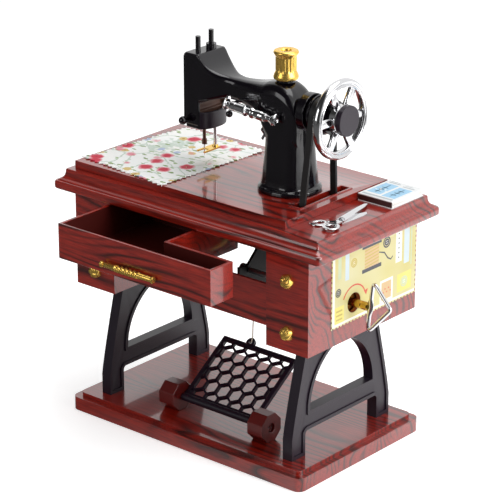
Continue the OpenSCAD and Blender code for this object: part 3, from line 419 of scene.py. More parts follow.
def machineCasting():
    y0 = machine["y"]
    # along X: x, top, underside, half width, corner radius
    arm = [
        (-19, 176, 157.6, 5.4, 2.6), (-14, 173, 157.8, 5.4, 2.6), (-10, 171.2, 158.4, 5.3, 3),
        (-7.5, 170.5, 159, 5.2, 3.2), (-4, 170, 159.4, 5.2, 3.4), (2, 169.9, 158.9, 5.1, 3.6),
        (8, 170.3, 157.6, 5.7, 4), (13, 171, 155.6, 6.6, 4.6), (17, 172, 152.4, 7.8, 5.4), (20, 172.9, 148, 8.6, 5.8),
        (24, 173.5, 144, 8.9, 6), (28, 173.3, 144, 8.9, 6.2), (32, 171.7, 144, 8.8, 6.2), (35, 169.2, 144, 8.5, 6),
        (37.2, 166, 144, 7.9, 5.6), (38.5, 161.5, 144, 6.9, 5)]
    # flare from the head's full depth down to the arm
    flare = [
        (-18.2, 178.9, 157.2, 9.6, 0.9), (-17, 178.3, 157.3, 9.6, 0.9), (-15.8, 176.6, 157.6, 9.5, 1),
        (-13.8, 174.4, 158, 9.1, 1.2), (-11.4, 172.6, 158.6, 8.3, 1.5), (-8.8, 171.4, 159.2, 7.2, 1.9),
        (-6.2, 170.6, 159.8, 6.1, 2.3), (-3.5, 170.1, 160.4, 5.3, 2.6), (0, 169.8, 161, 4.9, 2.8)]
    parts = []
    for table in (arm, flare):
        sections = [(x, roundRect(half, (top - low) / 2, min(corner, half - 0.2, (top - low) / 2 - 0.2), 6,
                                  (0, (top + low) / 2))) for x, top, low, half, corner in spread(table, 4)]
        parts.append(loftSections(sections, lambda a, b, along: (along, y0 + a, b)))
    # up Z: height, half length, half width, corner, centre x
    pillar = [
        (123.4, 14.5, 14, 13.4, 28.9), (125, 14.5, 14, 13.4, 28.9), (125.7, 13.9, 13.4, 12.6, 28.9),
        (126.1, 12.5, 11.9, 9.6, 28.9), (127.5, 12, 11.3, 8.6, 28.9), (131, 11.4, 10.7, 7.6, 29),
        (137, 10.7, 10, 6.6, 29), (145, 10.1, 9.4, 6.2, 29), (153, 9.7, 9, 6, 29), (161, 9.6, 8.9, 6, 29),
        (165, 8.6, 8.4, 6, 28.6)]
    sections = [(z, roundRect(a, b, min(r, a - 0.1, b - 0.1), 8, (cx, y0)))
                for z, a, b, r, cx in spread(pillar, 3)]
    parts.append(loftSections(sections, lambda a, b, along: (a, b, along)))
    # the head's upright box, open on its inner side above the cup
    (halfX, halfY), low, top = machine["headHalf"], machine["headLow"], machine["headTop"]
    box = loftSections([(z, roundRect(halfX - e, halfY - e, 0.9, 5, (machine["headX"], y0)))
                        for z, e in ((low, 0.5), (low + 0.6, 0), (top - 0.45, 0), (top, 0.4))],
                       lambda a, b, along: (a, b, along))
    head = newPiece("head", *box, "glossBlack")
    (x0, x1), (wide, deep) = machine["openingX"], machine["hollowSize"]
    opening = [(x0, y0 - deep), (x1, y0 - deep), (x1, y0 + deep), (x0, y0 + deep)]
    cutWith(head, newPiece("opening", *prism(opening, *machine["openingZ"]), "glossBlack"))
    # cup under the head: half-oval in plan, open at its top
    back, half = machine["cupBack"], machine["cupHalf"]
    oval = [(back, y0 - half)] + arc(-18.2, y0, 4.9, half, [7.5 * k for k in range(-12, 13)]) + [(back, y0 + half)]
    cup = newPiece("cup", *prism(oval, *machine["cupZ"]), "glossBlack")
    hollow = arc(machine["hollowX"], y0, wide, deep, range(-90, 91, 8))
    cutWith(cup, newPiece("cupHollow", *prism(hollow, *machine["hollowZ"]), "glossBlack"))
    # slanted underside of the cup
    wedge = newPiece("wedge", *prism(roundRect(12, 14, 1), -8, 0), "glossBlack")
    wedge.data.transform(moved(-10.5 * mm, 6 * mm, 144.6 * mm) @ turned(-20, "Y") @ turned(14, "X"))
    cutWith(cup, wedge)
    body = merged("machineCasting", [newPiece("part", *part, "glossBlack") for part in parts] + [head, cup])
    remesh = body.modifiers.new("skin", "REMESH")
    remesh.mode = "VOXEL"
    remesh.voxel_size = machine["voxelMm"] * mm
    soften = body.modifiers.new("soften", "SMOOTH")
    soften.factor = 0.5
    soften.iterations = machine["smoothing"]
    bake(body)
    body.data.shade_smooth()
    body.data.materials.clear()
    for look in ("glossBlack", "satinBlack", "cupReflectionBrown"):
        body.data.materials.append(mats[look])
    for face in body.data.polygons:
        x, y, z = (v / mm for v in face.center)
        # faces inside the cup take the brown, a painted reflection of the cloth; the rest of the cup takes the satin
        # black
        inside = 146 < z < 156 and hypot((x + 18.6) / 4.6, (y - y0) / 9) < 1
        face.material_index = 2 if inside else int(-17.1 < x < -12 and z < 151.9)
    settle(body, "frame", "gloss_black", "front_body_shell", "back_body_shell")


machineCasting()
print("machine casting made")


# table top

tableTop = {"halfX": 80, "halfY": 44.2, "baseZ": 110.2, "slot": (45.1, 49.7, -20, 15)}


def makeTableTop():
    # inset from the rim along X and Y, and height: skirt, lip, bead, cove, top edge
    profile = [(9.3, 4.7, 3), (9.3, 4.7, 0)] + [(inset, inset, height) for inset, height in (
        (0.9, 0), (0.35, 0.2), (0.08, 0.6), (0, 1.2), (0, 2.7), (0.12, 3.4), (0.45, 3.9), (0.9, 4.12),
        (1.15, 4.05), (1.35, 4.3), (1.75, 4.6), (2.3, 4.85), (2.9, 5.2), (3.4, 5.7), (3.8, 6.3), (4.05, 7),
        (4.2, 7.8), (4.25, 8.6), (4.35, 9.1), (4.6, 9.35), (5, 9.4))]
    rings = []
    for insetX, insetY, height in profile:
        ring = roundRect(tableTop["halfX"] - insetX, tableTop["halfY"] - insetY, max(0.5, 2.4 - insetX * 0.35), 4)
        rings.append((tableTop["baseZ"] + height, ring))
    n = len(rings[0][1])
    verts = [(x, y, z) for z, ring in rings for x, y in ring]
    faces = bands(n, len(rings)) + caps(n, len(rings))[:1]
    x0, x1, ya, yb = tableTop["slot"]
    top = rings[-1][0]
    outer = [Vector((x, y, top)) for x, y in rings[-1][1]]
    hole = [Vector(p) for p in ((x0, ya, top), (x0, yb, top), (x1, yb, top), (x1, ya, top))]
    last = len(verts) - n
    verts += [tuple(v) for v in hole]
    faces += [tuple(last + i for i in tri) for tri in tessellate_polygon([outer, hole])]
    piece = newPiece("tableTop", verts, faces, "mahogany", 26)
    settle(piece, "frame", "mahogany_plastic", "table_top")


makeTableTop()

# rounded copies of the moulded parts: name, node, material, edge radius in mm, body
mouldings = [
    ("basePlinth", "base_plinth", "mahogany", 0.9, "frame"),
    ("cabinet", "cabinet_shell", "mahogany", 0.45, "frame"),
    ("machineBed", "machine_bed", "mahogany", 0.5, "frame"),
    ("drawer", "drawer_tray", "mahogany", 0.35, "drawer"),
    ("leftLeg", "left_leg_frame", "satinBlack", 0.5, "frame"),
    ("rightLeg", "right_leg_frame", "satinBlack", 0.5, "frame"),
    ("leftPost", "left_treadle_post", "redAbs", 0.6, "frame"),
    ("rightPost", "right_treadle_post", "redAbs", 0.6, "frame"),
    ("facePlate", "face_plate", "glossBlack", 0.3, "frame"),
    ("capDisc", "wheel_cap", "satinBlack", 0.4, "wheel"),
    ("hubRings", "hub_rings", "glossBlack", 0.35, "frame"),
    ("upperPulley", "upper_pulley", "glossBlack", 0.15, "wheel"),
    ("presserFoot", "presser_foot", "gold", 0.2, "presser_slide"),
]
mouldedSlots = {"mahogany": "mahogany_plastic", "satinBlack": "satin_black", "redAbs": "dark_plastic",
                "glossBlack": "gloss_black", "gold": "gold_plated"}
moulded = {row[0]: mouldedCopy(*row, mouldedSlots[row[2]]) for row in mouldings}
# no film inside the drawer: the dark plastic shows
tray = moulded["drawer"].data
tray.materials.append(mats["drawerInside"])
trayPlan = {"shallowDepth": 15, "deepWidth": 53.8, "margin": 0.8, "rim": 0.5}
lowX, lowY, lowZ = (min(v.co[k] for v in tray.vertices) / mm for k in range(3))
highX, highY, highZ = (max(v.co[k] for v in tray.vertices) / mm for k in range(3))
for face in tray.polygons:
    x, y, z = face.center / mm
    e = trayPlan["margin"]
    shallow = lowX + e < x < highX - e and lowY + e < y < lowY + trayPlan["shallowDepth"] - e
    deep = lowX + e < x < lowX + trayPlan["deepWidth"] - e and lowY + e < y < highY - e
    face.material_index = int((shallow or deep) and lowZ + e < z < highZ - trayPlan["rim"])

# CAD solids that show as they are, with their finish
finishes = {
    "redAbs": ["base_cover", "left_bottom_cover", "right_bottom_cover", "left_drawer_runner"],
    "glossBlack": ["top_pins", "tension_knob", "rod_ball", "spool_pin", "drive_pulley"],
    "chrome": ["needle", "presser_bar"],
    "steel": ["leg_screws", "pillar_screws", "treadle_axle", "main_shaft", "needle_crank", "crank_shaft", "tone_comb",
              "comb_block", "governor", "mainspring"],
    "satinBlack": ["treadle_grille"],
    # the right drawer runner is painted black as the shade of the bay
    "bayShadeBlack": ["right_drawer_runner"],
    "bronze": ["needle_bar"],
    "brass": ["movement_plate", "spring_barrel", "pinned_cylinder", "shaft_bush"],
    "belt": ["drive_belt"],
}
for look, nodes in finishes.items():
    for node in nodes:
        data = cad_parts[node].data
        data.materials.clear()
        data.materials.append(mats[look])
print("mouldings made")


def bar(name, sizeMm, place, material, radiusMm=0):
    x, y, z = (s / 2 for s in sizeMm)
    verts = [place @ Vector((sx * x, sy * y, sz * z)) for sx in (-1, 1) for sy in (-1, 1) for sz in (-1, 1)]
    faces = [(0, 1, 3, 2), (4, 6, 7, 5), (0, 4, 5, 1), (2, 3, 7, 6), (0, 2, 6, 4), (1, 5, 7, 3)]
    piece = newPiece(name, verts, faces, material)
    return bevelled(piece, radiusMm) if radiusMm else piece


# handwheel

wheel = {"x": 55.6, "y": -2, "z": 162, "radius": 18.3, "rim": 3.7, "width": 4, "hub": 6.6, "spokes": 6,
         "spokeWidth": 3.8, "spokeLong": 9.5, "spokeMid": 10.4, "spokeThick": 2.2, "firstSpoke": 88}


def makeHandwheel():
    place = alongX(wheel["x"], wheel["y"], wheel["z"])
    r, t, w = wheel["radius"], wheel["rim"], wheel["width"]
    # rounded outer rim, a step and a groove, then the inner lip
    rim = [(r - t, 0.7), (r - t + 0.5, 0.1), (r - 1.6, 0), (r - 0.5, 0.4), (r, 1.3), (r, w - 1.5),
           (r - 0.35, w - 0.6), (r - 1.1, w - 0.05), (r - 1.9, w - 0.25), (r - 2.15, w - 0.75), (r - 2.4, w - 0.8),
           (r - 2.6, w - 0.35), (r - 3.1, w - 0.2), (r - t + 0.15, w - 0.5), (r - t, w - 1), (r - t, 0.7)]
    h = wheel["hub"]
    hub = [(1.25, 0), (h - 0.4, 0), (h, 0.4), (h, w - 0.5), (h - 0.5, w), (1.25, w), (1.25, 0)]
    ring = revolve(rim, place, "chrome", "wheelRim", 128, 50)
    core = revolve(hub, place, "chrome", "wheelHub", 64, 40)
    # the spokes: one bar, repeated by Geometry Nodes on the points of a circle
    tree = bpy.data.node_groups.new("wheelSpokes", "GeometryNodeTree")
    for way in ("OUTPUT", "INPUT"):
        tree.interface.new_socket("Geometry", in_out=way, socket_type="NodeSocketGeometry")
    count = tree.interface.new_socket("Count", in_out="INPUT", socket_type="NodeSocketInt")
    values = {"First": radians(wheel["firstSpoke"]), "Reach": wheel["spokeMid"] * mm,
              "Length": wheel["spokeLong"] * mm, "Width": wheel["spokeWidth"] * mm, "Depth": wheel["spokeThick"] * mm}
    floats = [tree.interface.new_socket(label, in_out="INPUT", socket_type="NodeSocketFloat") for label in values]
    given = addNode(tree, "NodeGroupInput").outputs
    circle = addNode(tree, "GeometryNodeMeshCircle", {"Vertices": given["Count"], "Radius": given["Reach"]})
    size = addNode(tree, "CombineXYZ", {"X": given["Length"], "Y": given["Width"], "Z": given["Depth"]})
    cube = addNode(tree, "GeometryNodeMeshCube", {"Size": size})
    spot = addNode(tree, "GeometryNodeInputPosition")
    aim = addNode(tree, "FunctionNodeAlignRotationToVector", {"Vector": spot}, axis="X")
    placed = addNode(tree, "GeometryNodeInstanceOnPoints", {"Points": circle, "Instance": cube, "Rotation": aim})
    turn = addNode(tree, "CombineXYZ", {"Z": given["First"]})
    whole = addNode(tree, "GeometryNodeTransform", {"Geometry": placed, "Rotation": turn})
    real = addNode(tree, "GeometryNodeRealizeInstances", {"Geometry": whole})
    painted = addNode(tree, "GeometryNodeSetMaterial", {"Geometry": real, "Material": mats["chrome"]})
    addNode(tree, "NodeGroupOutput", {0: painted})
    spokes = bpy.data.objects.new("wheelSpokes", bpy.data.meshes.new("wheelSpokes"))
    scene.collection.objects.link(spokes)
    step = spokes.modifiers.new("repeat", "NODES")
    step.node_group = tree
    for socket, value in zip([count] + floats, [wheel["spokes"], *values.values()]):
        step[socket.identifier] = value
    bake(spokes)
    bevelled(spokes, 0.7, 3)
    spokes.data.transform(Matrix.Scale(mm, 4) @ place @ moved(0, 0, w / 2) @ Matrix.Scale(1 / mm, 4))
    spokes.data.shade_smooth()
    spokes.data.set_sharp_from_angle(angle=radians(35))
    piece = merged("handwheel", [ring, core, spokes])
    settle(piece, "wheel", "chrome", "handwheel")


makeHandwheel()

# spool, knobs, drawer handle

spool = {"x": 26.4, "y": -2, "z": 174.4, "radius": 5.7, "height": 13.4, "flute": 0.035, "flutes": 18}


def makeSpool():
    r, h = spool["radius"], spool["height"]
    profile = [(1.4, 0), (r - 0.9, 0), (r - 0.2, 0.35), (r, 0.9), (r - 0.05, 1.7), (r - 0.4, 2.6), (5, 3.3),
               (4.7, 3.9), (4.6, 4.6), (4.6, h - 4.2), (4.6, h - 3.2), (4.75, h - 2.8), (5.1, h - 2.3),
               (r - 0.25, h - 1.7), (r, h - 1.25), (r, h - 0.75), (r - 0.3, h - 0.25), (r - 0.9, h), (2.9, h),
               (2.5, h - 0.2), (2.3, h - 0.9), (1.4, h - 0.9), (1.4, 0)]
    base = revolve(profile, moved(spool["x"], spool["y"], spool["z"]), "softGold", "spool", 144, 40)
    for v in base.data.vertices:
        x, y = v.co.x / mm - spool["x"], v.co.y / mm - spool["y"]
        if 4.5 < v.co.z / mm - spool["z"] < h - 3.1 and hypot(x, y) > 3:
            ease = 1 + spool["flute"] * cos(spool["flutes"] * atan2(y, x))
            v.co.x, v.co.y = (spool["x"] + x * ease) * mm, (spool["y"] + y * ease) * mm
    settle(base, "spool", "gold_plated", "thread_spool")


makeSpool()

knobs = {"places": [(-58.3, 72.4), (58.3, 72.4), (-58.3, 97), (58.3, 97)], "radius": 3.55, "frontY": -39.1,
         "height": 2.7, "petals": 5, "petalDepth": 0.12, "ripple": 0.32}


def makeKnobs():
    made = []
    for n, (x, z) in enumerate(knobs["places"]):
        verts, rings, sides = [], 10, 60
        for i in range(rings + 1):
            t = i / rings
            for k in range(sides):
                a = 2 * pi * k / sides
                fold = knobs["petals"] * a + n
                petal = 1 - knobs["petalDepth"] * (0.5 + 0.5 * cos(fold + t * 2.2)) * (1 - t) ** 0.5
                radius = knobs["radius"] * cos(t * pi / 2) ** 0.7 * petal
                out = (knobs["height"] * sin(t * pi / 2) ** 1.1
                       + knobs["ripple"] * sin(fold + t * 7) * sin(t * pi))
                verts.append((x + radius * cos(a), knobs["frontY"] - max(0, out), z + radius * sin(a)))
        faces = bands(sides, rings + 1) + caps(sides, rings)[:1]
        made.append(newPiece(f"knob{n}", verts, faces, "softGold", 60))
    settle(merged("roseKnobs", made), "frame", "gold_plated", "block_knobs")


makeKnobs()

handle = {"x0": -17.5, "length": 32, "y": -77.4, "z": 97.6, "radius": 1.45, "turns": 5.5,
          "endLong": 9.2, "lobes": 3, "lobeDepth": 0.2, "stemIn": 2.4}


def makeHandle():
    x0, length, y, z, r = (handle[k] for k in ("x0", "length", "y", "z", "radius"))
    place = alongX(x0, y, z)
    ends = []
    for flip in (0, 1):
        side = [(0, 0), (1.2, 0), (1.55, 0.4), (1.55, 1.1), (1, 1.6), (1, 2), (1.25, 2.4), (1.25, 8.2),
                (1.5, 8.5), (1.5, 9.1), (1.1, 9.5), (0, 9.5)]
        at = place @ moved(0, 0, length) @ turned(180, "X") if flip else place
        ends.append(revolve(side, at, "softGold", f"handleEnd{flip}", 32, 40))
    # twisted middle: a three-lobed section turned along its length
    verts, rows, sides = [], 72, 24
    for i in range(rows + 1):
        t = i / rows
        for k in range(sides):
            a = 2 * pi * k / sides
            lobe = r * (1 + handle["lobeDepth"] * cos(handle["lobes"] * a))
            b = a + t * handle["turns"] * 2 * pi / handle["lobes"]
            along = handle["endLong"] + t * (length - 2 * handle["endLong"])
            verts.append(place @ Vector((lobe * cos(b), lobe * sin(b), along)))
    twist = newPiece("handleTwist", verts, bands(sides, rows + 1) + caps(sides, rows + 1), "softGold", 60)
    stems = [revolve(rodShape(0.75, 1.8),
                     moved(x0 + handle["stemIn"] + s * (length - 2 * handle["stemIn"]), -75.55, z) @ turned(90, "X"),
                     "softGold", f"stem{s}", 20) for s in (0, 1)]
    settle(merged("drawerHandle", ends + [twist] + stems), "drawer", "gold_plated", "drawer_handle")


makeHandle()
print("gold pieces made")

# key bow

key = {"tip": 78.7, "y": -7, "z": 80.4, "half": 11.8, "out": 12.1, "apex": 1.4, "wire": 0.95, "turn": -10}


def makeKeyBow():
    place = moved(0, key["y"], key["z"]) @ turned(key["turn"], "X")
    x0 = key["tip"] + key["wire"]
    corners = [(x0, 0, -key["half"]), (x0, 0, key["half"]), (key["tip"] + key["out"], 0, key["apex"])]
    route = roundedRoute(corners, 1.5, 10)
    full = []
    for i, point in enumerate(route):
        after = route[(i + 1) % len(route)]
        steps = max(1, int((after - point).length / 0.8))
        full += [point.lerp(after, k / steps) for k in range(steps)]
    verts, faces = tubeMesh(full, key["wire"], 16, True)
    # the wire is pressed flat where it passes through the slotted shaft
    shaped = []
    for v in verts:
        near = max(0, 1 - abs(v[2]) / 3.2) if v[0] < x0 + 1.2 else 0
        flat = near ** 0.6
        shaped.append((x0 + (v[0] - x0) * (1 + 1 * flat), v[1] * (1 - 0.35 * flat), v[2]))
    bow = newPiece("keyBow", [place @ Vector(v) for v in shaped], faces, "chrome", 60)
    settle(bow, "key", "chrome", "key_bow")
    shaft = [(0, 0), (1.9, 0), (1.9, 14.6), (1.65, 14.9), (1.9, 15.2), (1.9, 18.1), (1.6, 18.5), (0, 18.5)]
    body = revolve(shaft, alongX(60.2, key["y"], key["z"]), "brass", "keyShaft", 40, 30)
    settle(body, "key", "brass", "winding_key")


makeKeyBow()

# rod, lever and thumb screw on the machine

rod = {"x": 1, "y": -14, "z": 160.6, "drop": 4}
lever = {"place": (16.8, -5, 147.6), "wings": [((0.9, 1.7, 7.6), 38), ((0.8, 1.5, 6.2), -42)], "stem": 4}


def makeRod():
    place = moved(rod["x"], rod["y"], rod["z"]) @ turned(90 + rod["drop"], "Y")
    profile = [(0, 0), (1.2, 0), (2.3, 0.15), (2.6, 0.5), (2.6, 1), (2.2, 1.35), (1.5, 1.5), (1.45, 3.2),
               (2, 3.6), (2.2, 4.1), (2.2, 6.3), (2.05, 6.5), (2.05, 7.6), (2.2, 7.8), (2.2, 11.2), (2.5, 11.5),
               (2.6, 12), (2.6, 12.6), (2.3, 12.9), (1.7, 13.2), (1.65, 15.1), (2.3, 15.5), (2.55, 15.9),
               (2.55, 16.6), (2.3, 17), (2.1, 17.3), (2.1, 18.4), (2.25, 18.7), (2.25, 22), (2.1, 22.3),
               (2.1, 23.4), (2.2, 23.6), (2.2, 24.2), (1.6, 24.9), (1.5, 26.4), (1.8, 27.2), (2.6, 28.4),
               (2.65, 29.4), (2.2, 29.95), (1.2, 30), (0, 29.2)]
    y = rod["y"]
    parts = [revolve(profile, place, "chrome", "rodBody", 56, 35)]
    for x, z, y1 in ((3.6, 160.5, -6.2), (28, 158.7, -10)):
        parts.append(revolve(rodShape(0.9, y1 - y), moved(x, y, z) @ turned(-90, "X"), "chrome", "stay", 24))
    # small hooks at both ends, and a drop below the left one: route, bend, steps, radius
    for name, route, bend, steps, radius in (
            ("hook", [(1.6, y + 1.5, 162.2), (2.2, y - 0.3, 163.8), (4.6, y - 1.2, 164.4)], 0.6, 5, 0.55),
            ("hook", [(29.2, y - 0.4, 159), (30.2, y - 1.6, 160.4), (30.4, y + 0.4, 161.2)], 0.6, 5, 0.5),
            ("drop", [(3, y + 0.6, 159), (3.3, y + 0.2, 157.6), (3.4, y, 156.8)], 0.4, 4, 0.45)):
        parts.append(wire(name, route, bend, steps, radius, 10, "chrome"))
    settle(merged("bobbinRod", parts), "frame", "chrome", "bobbin_rod")
    # wing lever: two crossed blades on a short stem
    x, y, z = lever["place"]
    blades = [bar("wing", size, moved(x, y, z) @ turned(angle, "X"), "chrome", 0.3) for size, angle in lever["wings"]]
    blades.append(revolve(rodShape(0.9, lever["stem"]), alongX(x - 0.4, y, z), "chrome", "stem", 20))
    settle(merged("thumbLever", blades), "frame", "chrome", "thumb_lever")


makeRod()

# treadle string

cord = {"route": [(-0.5, 5.76, 37.1), (0.4, 5.76, 40.1), (1.4, 4.76, 45.1), (2.6, 3.76, 53.1), (3, 2, 66.4),
                  (3, 2, 78.7)], "pin": (3, 2, 80.4), "loop": 1.6, "radius": 0.3}


def makeCord():
    rope = wire("cord", cord["route"], 2, 6, cord["radius"], 12, "string")
    x, y, z = cord["pin"]
    ring = [(x, y + cord["loop"] * sin(k * pi / 12), z + cord["loop"] * cos(k * pi / 12))
            for k in range(24)]
    loop = newPiece("loop", *tubeMesh(ring, cord["radius"], 10, True), "string", 60)
    piece = merged("treadleString", [rope, loop])
    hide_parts("treadle_string")
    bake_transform(piece)


makeCord()

# scissors

scissors = {"pivot": (68.2, -13.8), "rings": [(61.6, -21.6), (69.8, -23.4)], "tips": [(69.6, 2.6), (64, 9.8)],
            "z": 119.6, "thick": 0.8, "loop": (3.15, 2.75), "loopWire": 1.15, "loopFlat": 0.62}


def makeScissors():
    names = (("scissorsLeft", "frame", "scissors_left"), ("scissorsRight", "scissors_upper", "scissors_right"))
    thick, flat = scissors["thick"], scissors["loopFlat"]
    pivot = Vector(scissors["pivot"])
    for i, (name, body, node) in enumerate(names):
        z = scissors["z"] + i * thick
        tip, ring = Vector(scissors["tips"][i]) - pivot, Vector(scissors["rings"][i]) - pivot
        along, grip = tip.normalized(), ring.normalized()
        across, side = Vector((-along.y, along.x)), Vector((-grip.y, grip.x))
        s = 1 if i == 0 else -1
        reach, far = tip.length, ring.length - 3.4
        blade = [pivot + along * a + across * b * s for a, b in
                 ((-1.6, -1.8), (1.5, -2), (reach * 0.35, -1.9), (reach * 0.75, -1.6), (reach - 1, -1),
                  (reach - 0.2, -0.2), (reach - 0.1, 0.4), (reach * 0.8, 1.3), (reach * 0.4, 1.7), (1.4, 2),
                  (-1.6, 1.8))]
        shank = [pivot + grip * a + side * b for a, b in
                 ((-1, -1.4), (2, -1.3), (far, -0.8), (far, 0.8), (2, 1.3), (-1, 1.4))]
        parts = [newPiece("blade", *prism(blade[::s], z, z + thick, 0.25), "chrome", 25),
                 newPiece("shank", *prism(shank, z, z + thick, 0.25), "chrome", 25)]
        mid = z + thick / 2
        loop = [(*(pivot + ring + grip * a + side * b), mid)
                for a, b in arc(0, 0, *scissors["loop"], range(0, 360, 10))]
        verts, faces = tubeMesh(loop, scissors["loopWire"], 12, True)
        verts = [(v[0], v[1], mid + max(-thick / 2, min(thick / 2, (v[2] - mid) * flat))) for v in verts]
        parts.append(newPiece("loop", verts, faces, "chrome", 60))
        settle(merged(name, parts), body, "chrome", node)
    x, y = scissors["pivot"]
    screw = [(0, 0), (0.6, 0), (0.6, 1.55), (1.35, 1.6), (1.3, 1.95), (0.9, 2.2), (0, 2.2)]
    pin = revolve(screw, moved(x, y, scissors["z"]), "steel", "scissorsScrew", 32)
    settle(pin, "frame", "chrome", "scissors_screw")


makeScissors()
print("chrome pieces made")

# book

book = {"x": (55.5, 74.7), "y": (13.8, 37.4), "z": 119.6, "thick": 3.6}


def makeBook():
    (x0, x1), (y0, y1), z, thick = book["x"], book["y"], book["z"], book["thick"]
    wide, long, x, y = x1 - x0, y1 - y0, (x0 + x1) / 2, (y0 + y1) / 2
    card = newMaterial("white coated card", "#eef0f0", 0, 0.35)
    pages = newMaterial("cut edges of white paper", "#f3f2ee", 0, 0.8)
    tree, flat = pages.node_tree, objectCoords(pages, (0.05, 0.05, 6))
    leaves = addNode(tree, "TexNoise", {"Vector": flat, "Scale": 0.9})
    shades = [(0.35, "#dcdad4"), (0.6, "#f6f5f2")]
    link(pages, addNode(tree, "ValToRGB", {"Fac": leaves}, shades), "Base Color")
    inks = {name: newMaterial(f"{words} print on card", colour, 0, 0.35) for name, words, colour in (
        ("blue", "light blue", "#9fd0ee"), ("grey", "grey", "#b9c0c4"), ("navy", "dark blue", "#4b7fa8"))}
    # the book's -Y side gets a thin dark brown strip: painted shadow under the cover's edge and painted reflection of
    # the red tray
    shadedSide = newMaterial("dark brown painted shade on the book's side", "#3a1a17", 0, 0.4)
    parts = [bar("cover", (wide, long, 0.5), moved(x, y, z + zc), card, 0.12) for zc in (0.25, thick - 0.28)]
    parts.append(bar("shadedSide", (wide - 0.5, 0.5, thick - 0.7), moved(x, y0 + 0.4, z + thick / 2), shadedSide, 0.1))
    parts.append(bar("pages", (wide - 0.7, long - 0.8, thick - 0.9), moved(x, y, z + thick / 2), pages))
    top = z + thick - 0.035
    # colour panels and rules: ink, left, right, bottom, top as shares of the cover
    panels = [("grey", 0.06, 0.94, 0.05, 0.12), ("blue", 0.08, 0.46, 0.2, 0.8), ("blue", 0.54, 0.92, 0.16, 0.74),
              ("grey", 0.1, 0.44, 0.86, 0.9), ("grey", 0.1, 0.36, 0.93, 0.95), ("grey", 0.56, 0.9, 0.8, 0.84),
              ("grey", 0.56, 0.8, 0.88, 0.9)]
    # leafy sprigs drawn over the blue panels
    panels += [("navy", 0.26, 0.28, 0.26, 0.74), ("navy", 0.72, 0.74, 0.22, 0.68)]
    panels += [("navy", u + 0.02 + 0.09 * side, u + 0.1 + 0.09 * side, v, v + 0.022)
               for u in (0.17, 0.63) for side in (0, 1) for v in (0.32, 0.44, 0.56)]
    for ink, u0, u1, v0, v1 in panels:
        centre = moved(x0 + wide * (u0 + u1) / 2, y0 + long * (v0 + v1) / 2, top)
        parts.append(bar("panel", (wide * (u1 - u0), long * (v1 - v0), 0.06), centre, inks[ink]))
    for k in range(5):
        at = moved(x0 + 3 + k * 1.35, y0 + 9.6 + (k % 2) * 1.6, top - 0.01)
        parts.append(revolve(rodShape(0.5, 0.045), at, card, "dot", 16))
    settle(merged("pocketBook", parts), "frame", "card", "sewing_book")


makeBook()

# side sticker

sticker = {"x": 70.3, "y": (-23.2, 38.6), "z": (71.7, 109.9), "pitchMm": 2.35, "bite": 0.62, "thick": 0.2,
           "key": (-7, 80.4), "hole": 4.7}


def edgesOf(corners):
    # each side of a polygon: start, end, unit vectors along and inwards
    for a, b in zip(corners, corners[1:] + corners[:1]):
        along = (b - a).normalized()
        yield a, b, along, Vector((-along.y, along.x))


def plate(name, x, outline, depth, material, hole=None):
    # flat shape in the side wall's plane at x, standing depth proud
    loops = [[Vector((y, z, 0)) for y, z in outline]] + ([[Vector((y, z, 0)) for y, z in hole]] if hole else [])
    tris = tessellate_polygon(loops)
    flat = [p for loop in loops for p in loop]
    n = len(flat)
    verts = [(x, p.x, p.y) for p in flat] + [(x + depth, p.x, p.y) for p in flat]
    faces = [tuple(t) for t in tris] + [tuple(i + n for i in t) for t in tris]
    start = 0
    for loop in loops:
        m = len(loop)
        faces += [(start + k, start + (k + 1) % m, n + start + (k + 1) % m, n + start + k) for k in range(m)]
        start += m
    return newPiece(name, verts, faces, material, 30)


def disc(y, z, r, sides=28):
    return arc(y, z, r, r, [360 * k / sides for k in range(sides)])


